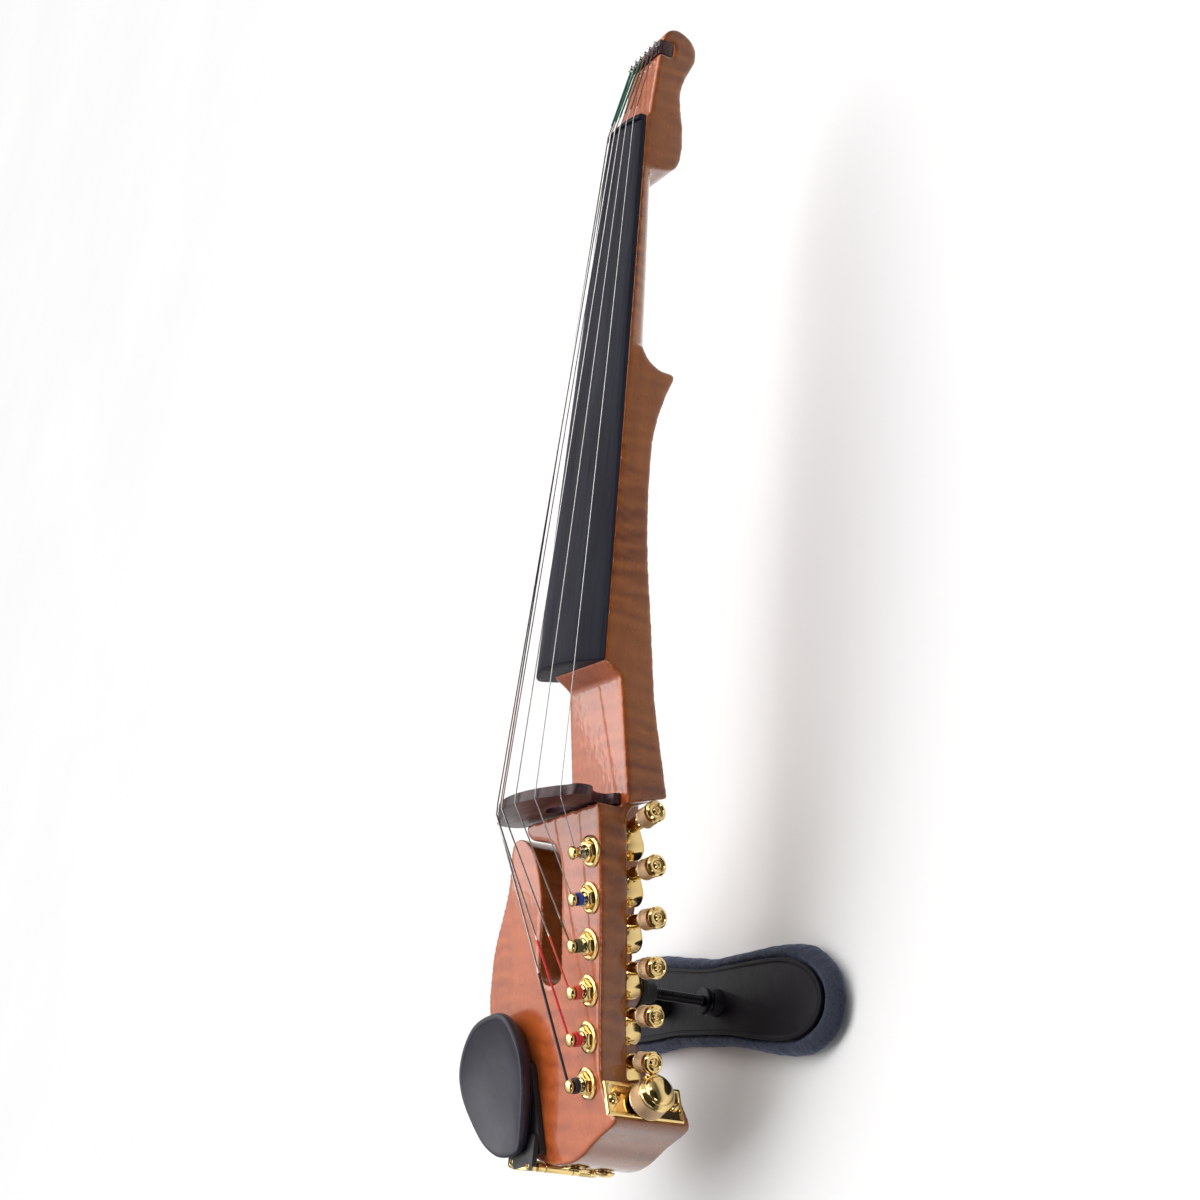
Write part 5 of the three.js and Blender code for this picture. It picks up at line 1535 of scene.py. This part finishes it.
# ------------------------------------------------------------------ floor (metres from here on)
def floor_material():
    mat = Material("floor_paper")
    pale = mat.tint((0.90, 0.90, 0.905), (0.93, 0.93, 0.93),
                    where=mat.noise(scale=3.0), span=(0.3, 0.7), amount=1.0)
    # painted reflection: for glossy rays the floor's colour falls off to near black towards the
    # camera, standing in for a dark room there
    position = mat.split(mat.geometry("Position"))
    away = mat.math("MAXIMUM", mat.remap(position[0], span=(0.10, 0.26), to=(0.0, 0.93)),
                    mat.remap(position[1], span=(-0.36, -0.52), to=(0.0, 0.93)))
    glossy = mat.node("ShaderNodeLightPath").outputs["Is Glossy Ray"]
    fall = mat.math("MULTIPLY", away, glossy)
    return mat.finish(Base_Color=mat.mix(fall, pale, (0.02, 0.018, 0.016)),
                      Roughness=0.9, Specular_IOR_Level=0.1)


def build_floor(half=6.0):
    z = CAD_BOX[0][2] - 0.0002
    mesh = bpy.data.meshes.new("floor")
    corners = [(-half, -half, z), (half, -half, z), (half, half, z), (-half, half, z)]
    mesh.from_pydata(corners, [], [(0, 1, 2, 3)])
    floor = bpy.data.objects.new("floor", mesh)
    SCENE.collection.objects.link(floor)
    mesh.materials.append(floor_material())


build_floor()


# ------------------------------------------------------------------ camera and lights
def add_camera():
    data = bpy.data.cameras.new("camera")
    data.sensor_width, data.lens = 36.0, 60.246
    data.clip_start, data.clip_end = 0.01, 50
    camera = bpy.data.objects.new("camera", data)
    SCENE.collection.objects.link(camera)
    right = Vector((0.48333026, 0.099238404, -0.869795148))
    down = Vector((-0.1973821, -0.955617771, -0.218712101))
    forward = Vector((-0.85289634, 0.277392169, -0.442291101))
    turn = Matrix((right, -down, -forward)).transposed().to_4x4()
    location = Vector((0.781971888, -0.161523828, 0.39545496)) + Vector(OFFSET)
    camera.matrix_world = Matrix.Translation(location) @ turn
    SCENE.camera = camera


def add_light(name, kind, location, target, **settings):
    """location and target are in the design frame, in metres."""
    light = bpy.data.lights.new(name, kind)
    for key, value in settings.items():
        setattr(light, key, value)
    obj = bpy.data.objects.new(name, light)
    SCENE.collection.objects.link(obj)
    start, end = Vector(location) + Vector(OFFSET), Vector(target) + Vector(OFFSET)
    obj.location = start
    obj.rotation_mode = "QUATERNION"
    obj.rotation_quaternion = (end - start).to_track_quat("-Z", "Y")


add_camera()
# a wide even light from above and the -X side, and two small soft boxes for the highlights
add_light("sky_light", "SUN", location=(-0.55, 0.35, 1.25), target=(0, 0, 0),
          angle=75 * RAD, energy=2.0)
add_light("strip", "AREA", location=(0.75, 0.75, 0.95), target=(0, 0.1, 0),
          shape="RECTANGLE", size=0.22, size_y=0.9, energy=3.0)
add_light("low", "AREA", location=(0.9, -0.75, 0.35), target=(0, -0.05, -0.05),
          shape="RECTANGLE", size=0.35, size_y=0.35, energy=1.6)


# ------------------------------------------------------------------ world
def build_world():
    """A room pale overhead, grey at the horizon and dark behind the camera."""
    world = bpy.data.worlds.new("studio")
    SCENE.world = world
    world.use_nodes = True
    tree = world.node_tree
    tree.nodes.clear()

    def smooth(value, low, high, to_low, to_high):
        return add_node(tree, "ShaderNodeMapRange", {"interpolation_type": "SMOOTHSTEP"}, {
            "Value": value, "From Min": low, "From Max": high,
            "To Min": to_low, "To Max": to_high}).outputs[0]

    def combine(operation, a, b):
        return add_node(tree, "ShaderNodeMath", {"operation": operation}, {0: a, 1: b}).outputs[0]

    direction = add_node(tree, "ShaderNodeTexCoord").outputs["Generated"]
    up = add_node(tree, "ShaderNodeSeparateXYZ", None, {0: direction}).outputs[2]
    sky = smooth(up, low=0.05, high=0.8, to_low=0.22, to_high=0.95)
    behind = add_node(tree, "ShaderNodeVectorMath", {"operation": "DOT_PRODUCT"},
                      {0: direction, 1: (0.84, -0.30, 0.45)}).outputs["Value"]
    dark = smooth(behind, low=0.30, high=0.72, to_low=1.0, to_high=0.05)
    tone = combine("MULTIPLY", sky, dark)
    # the camera itself sees the room at full brightness
    seen = add_node(tree, "ShaderNodeLightPath").outputs["Is Camera Ray"]
    background = add_node(tree, "ShaderNodeBackground", None, {
        "Color": (1.0, 0.995, 0.985), "Strength": combine("MAXIMUM", tone, seen)})
    add_node(tree, "ShaderNodeOutputWorld", None, {"Surface": background.outputs[0]})


build_world()
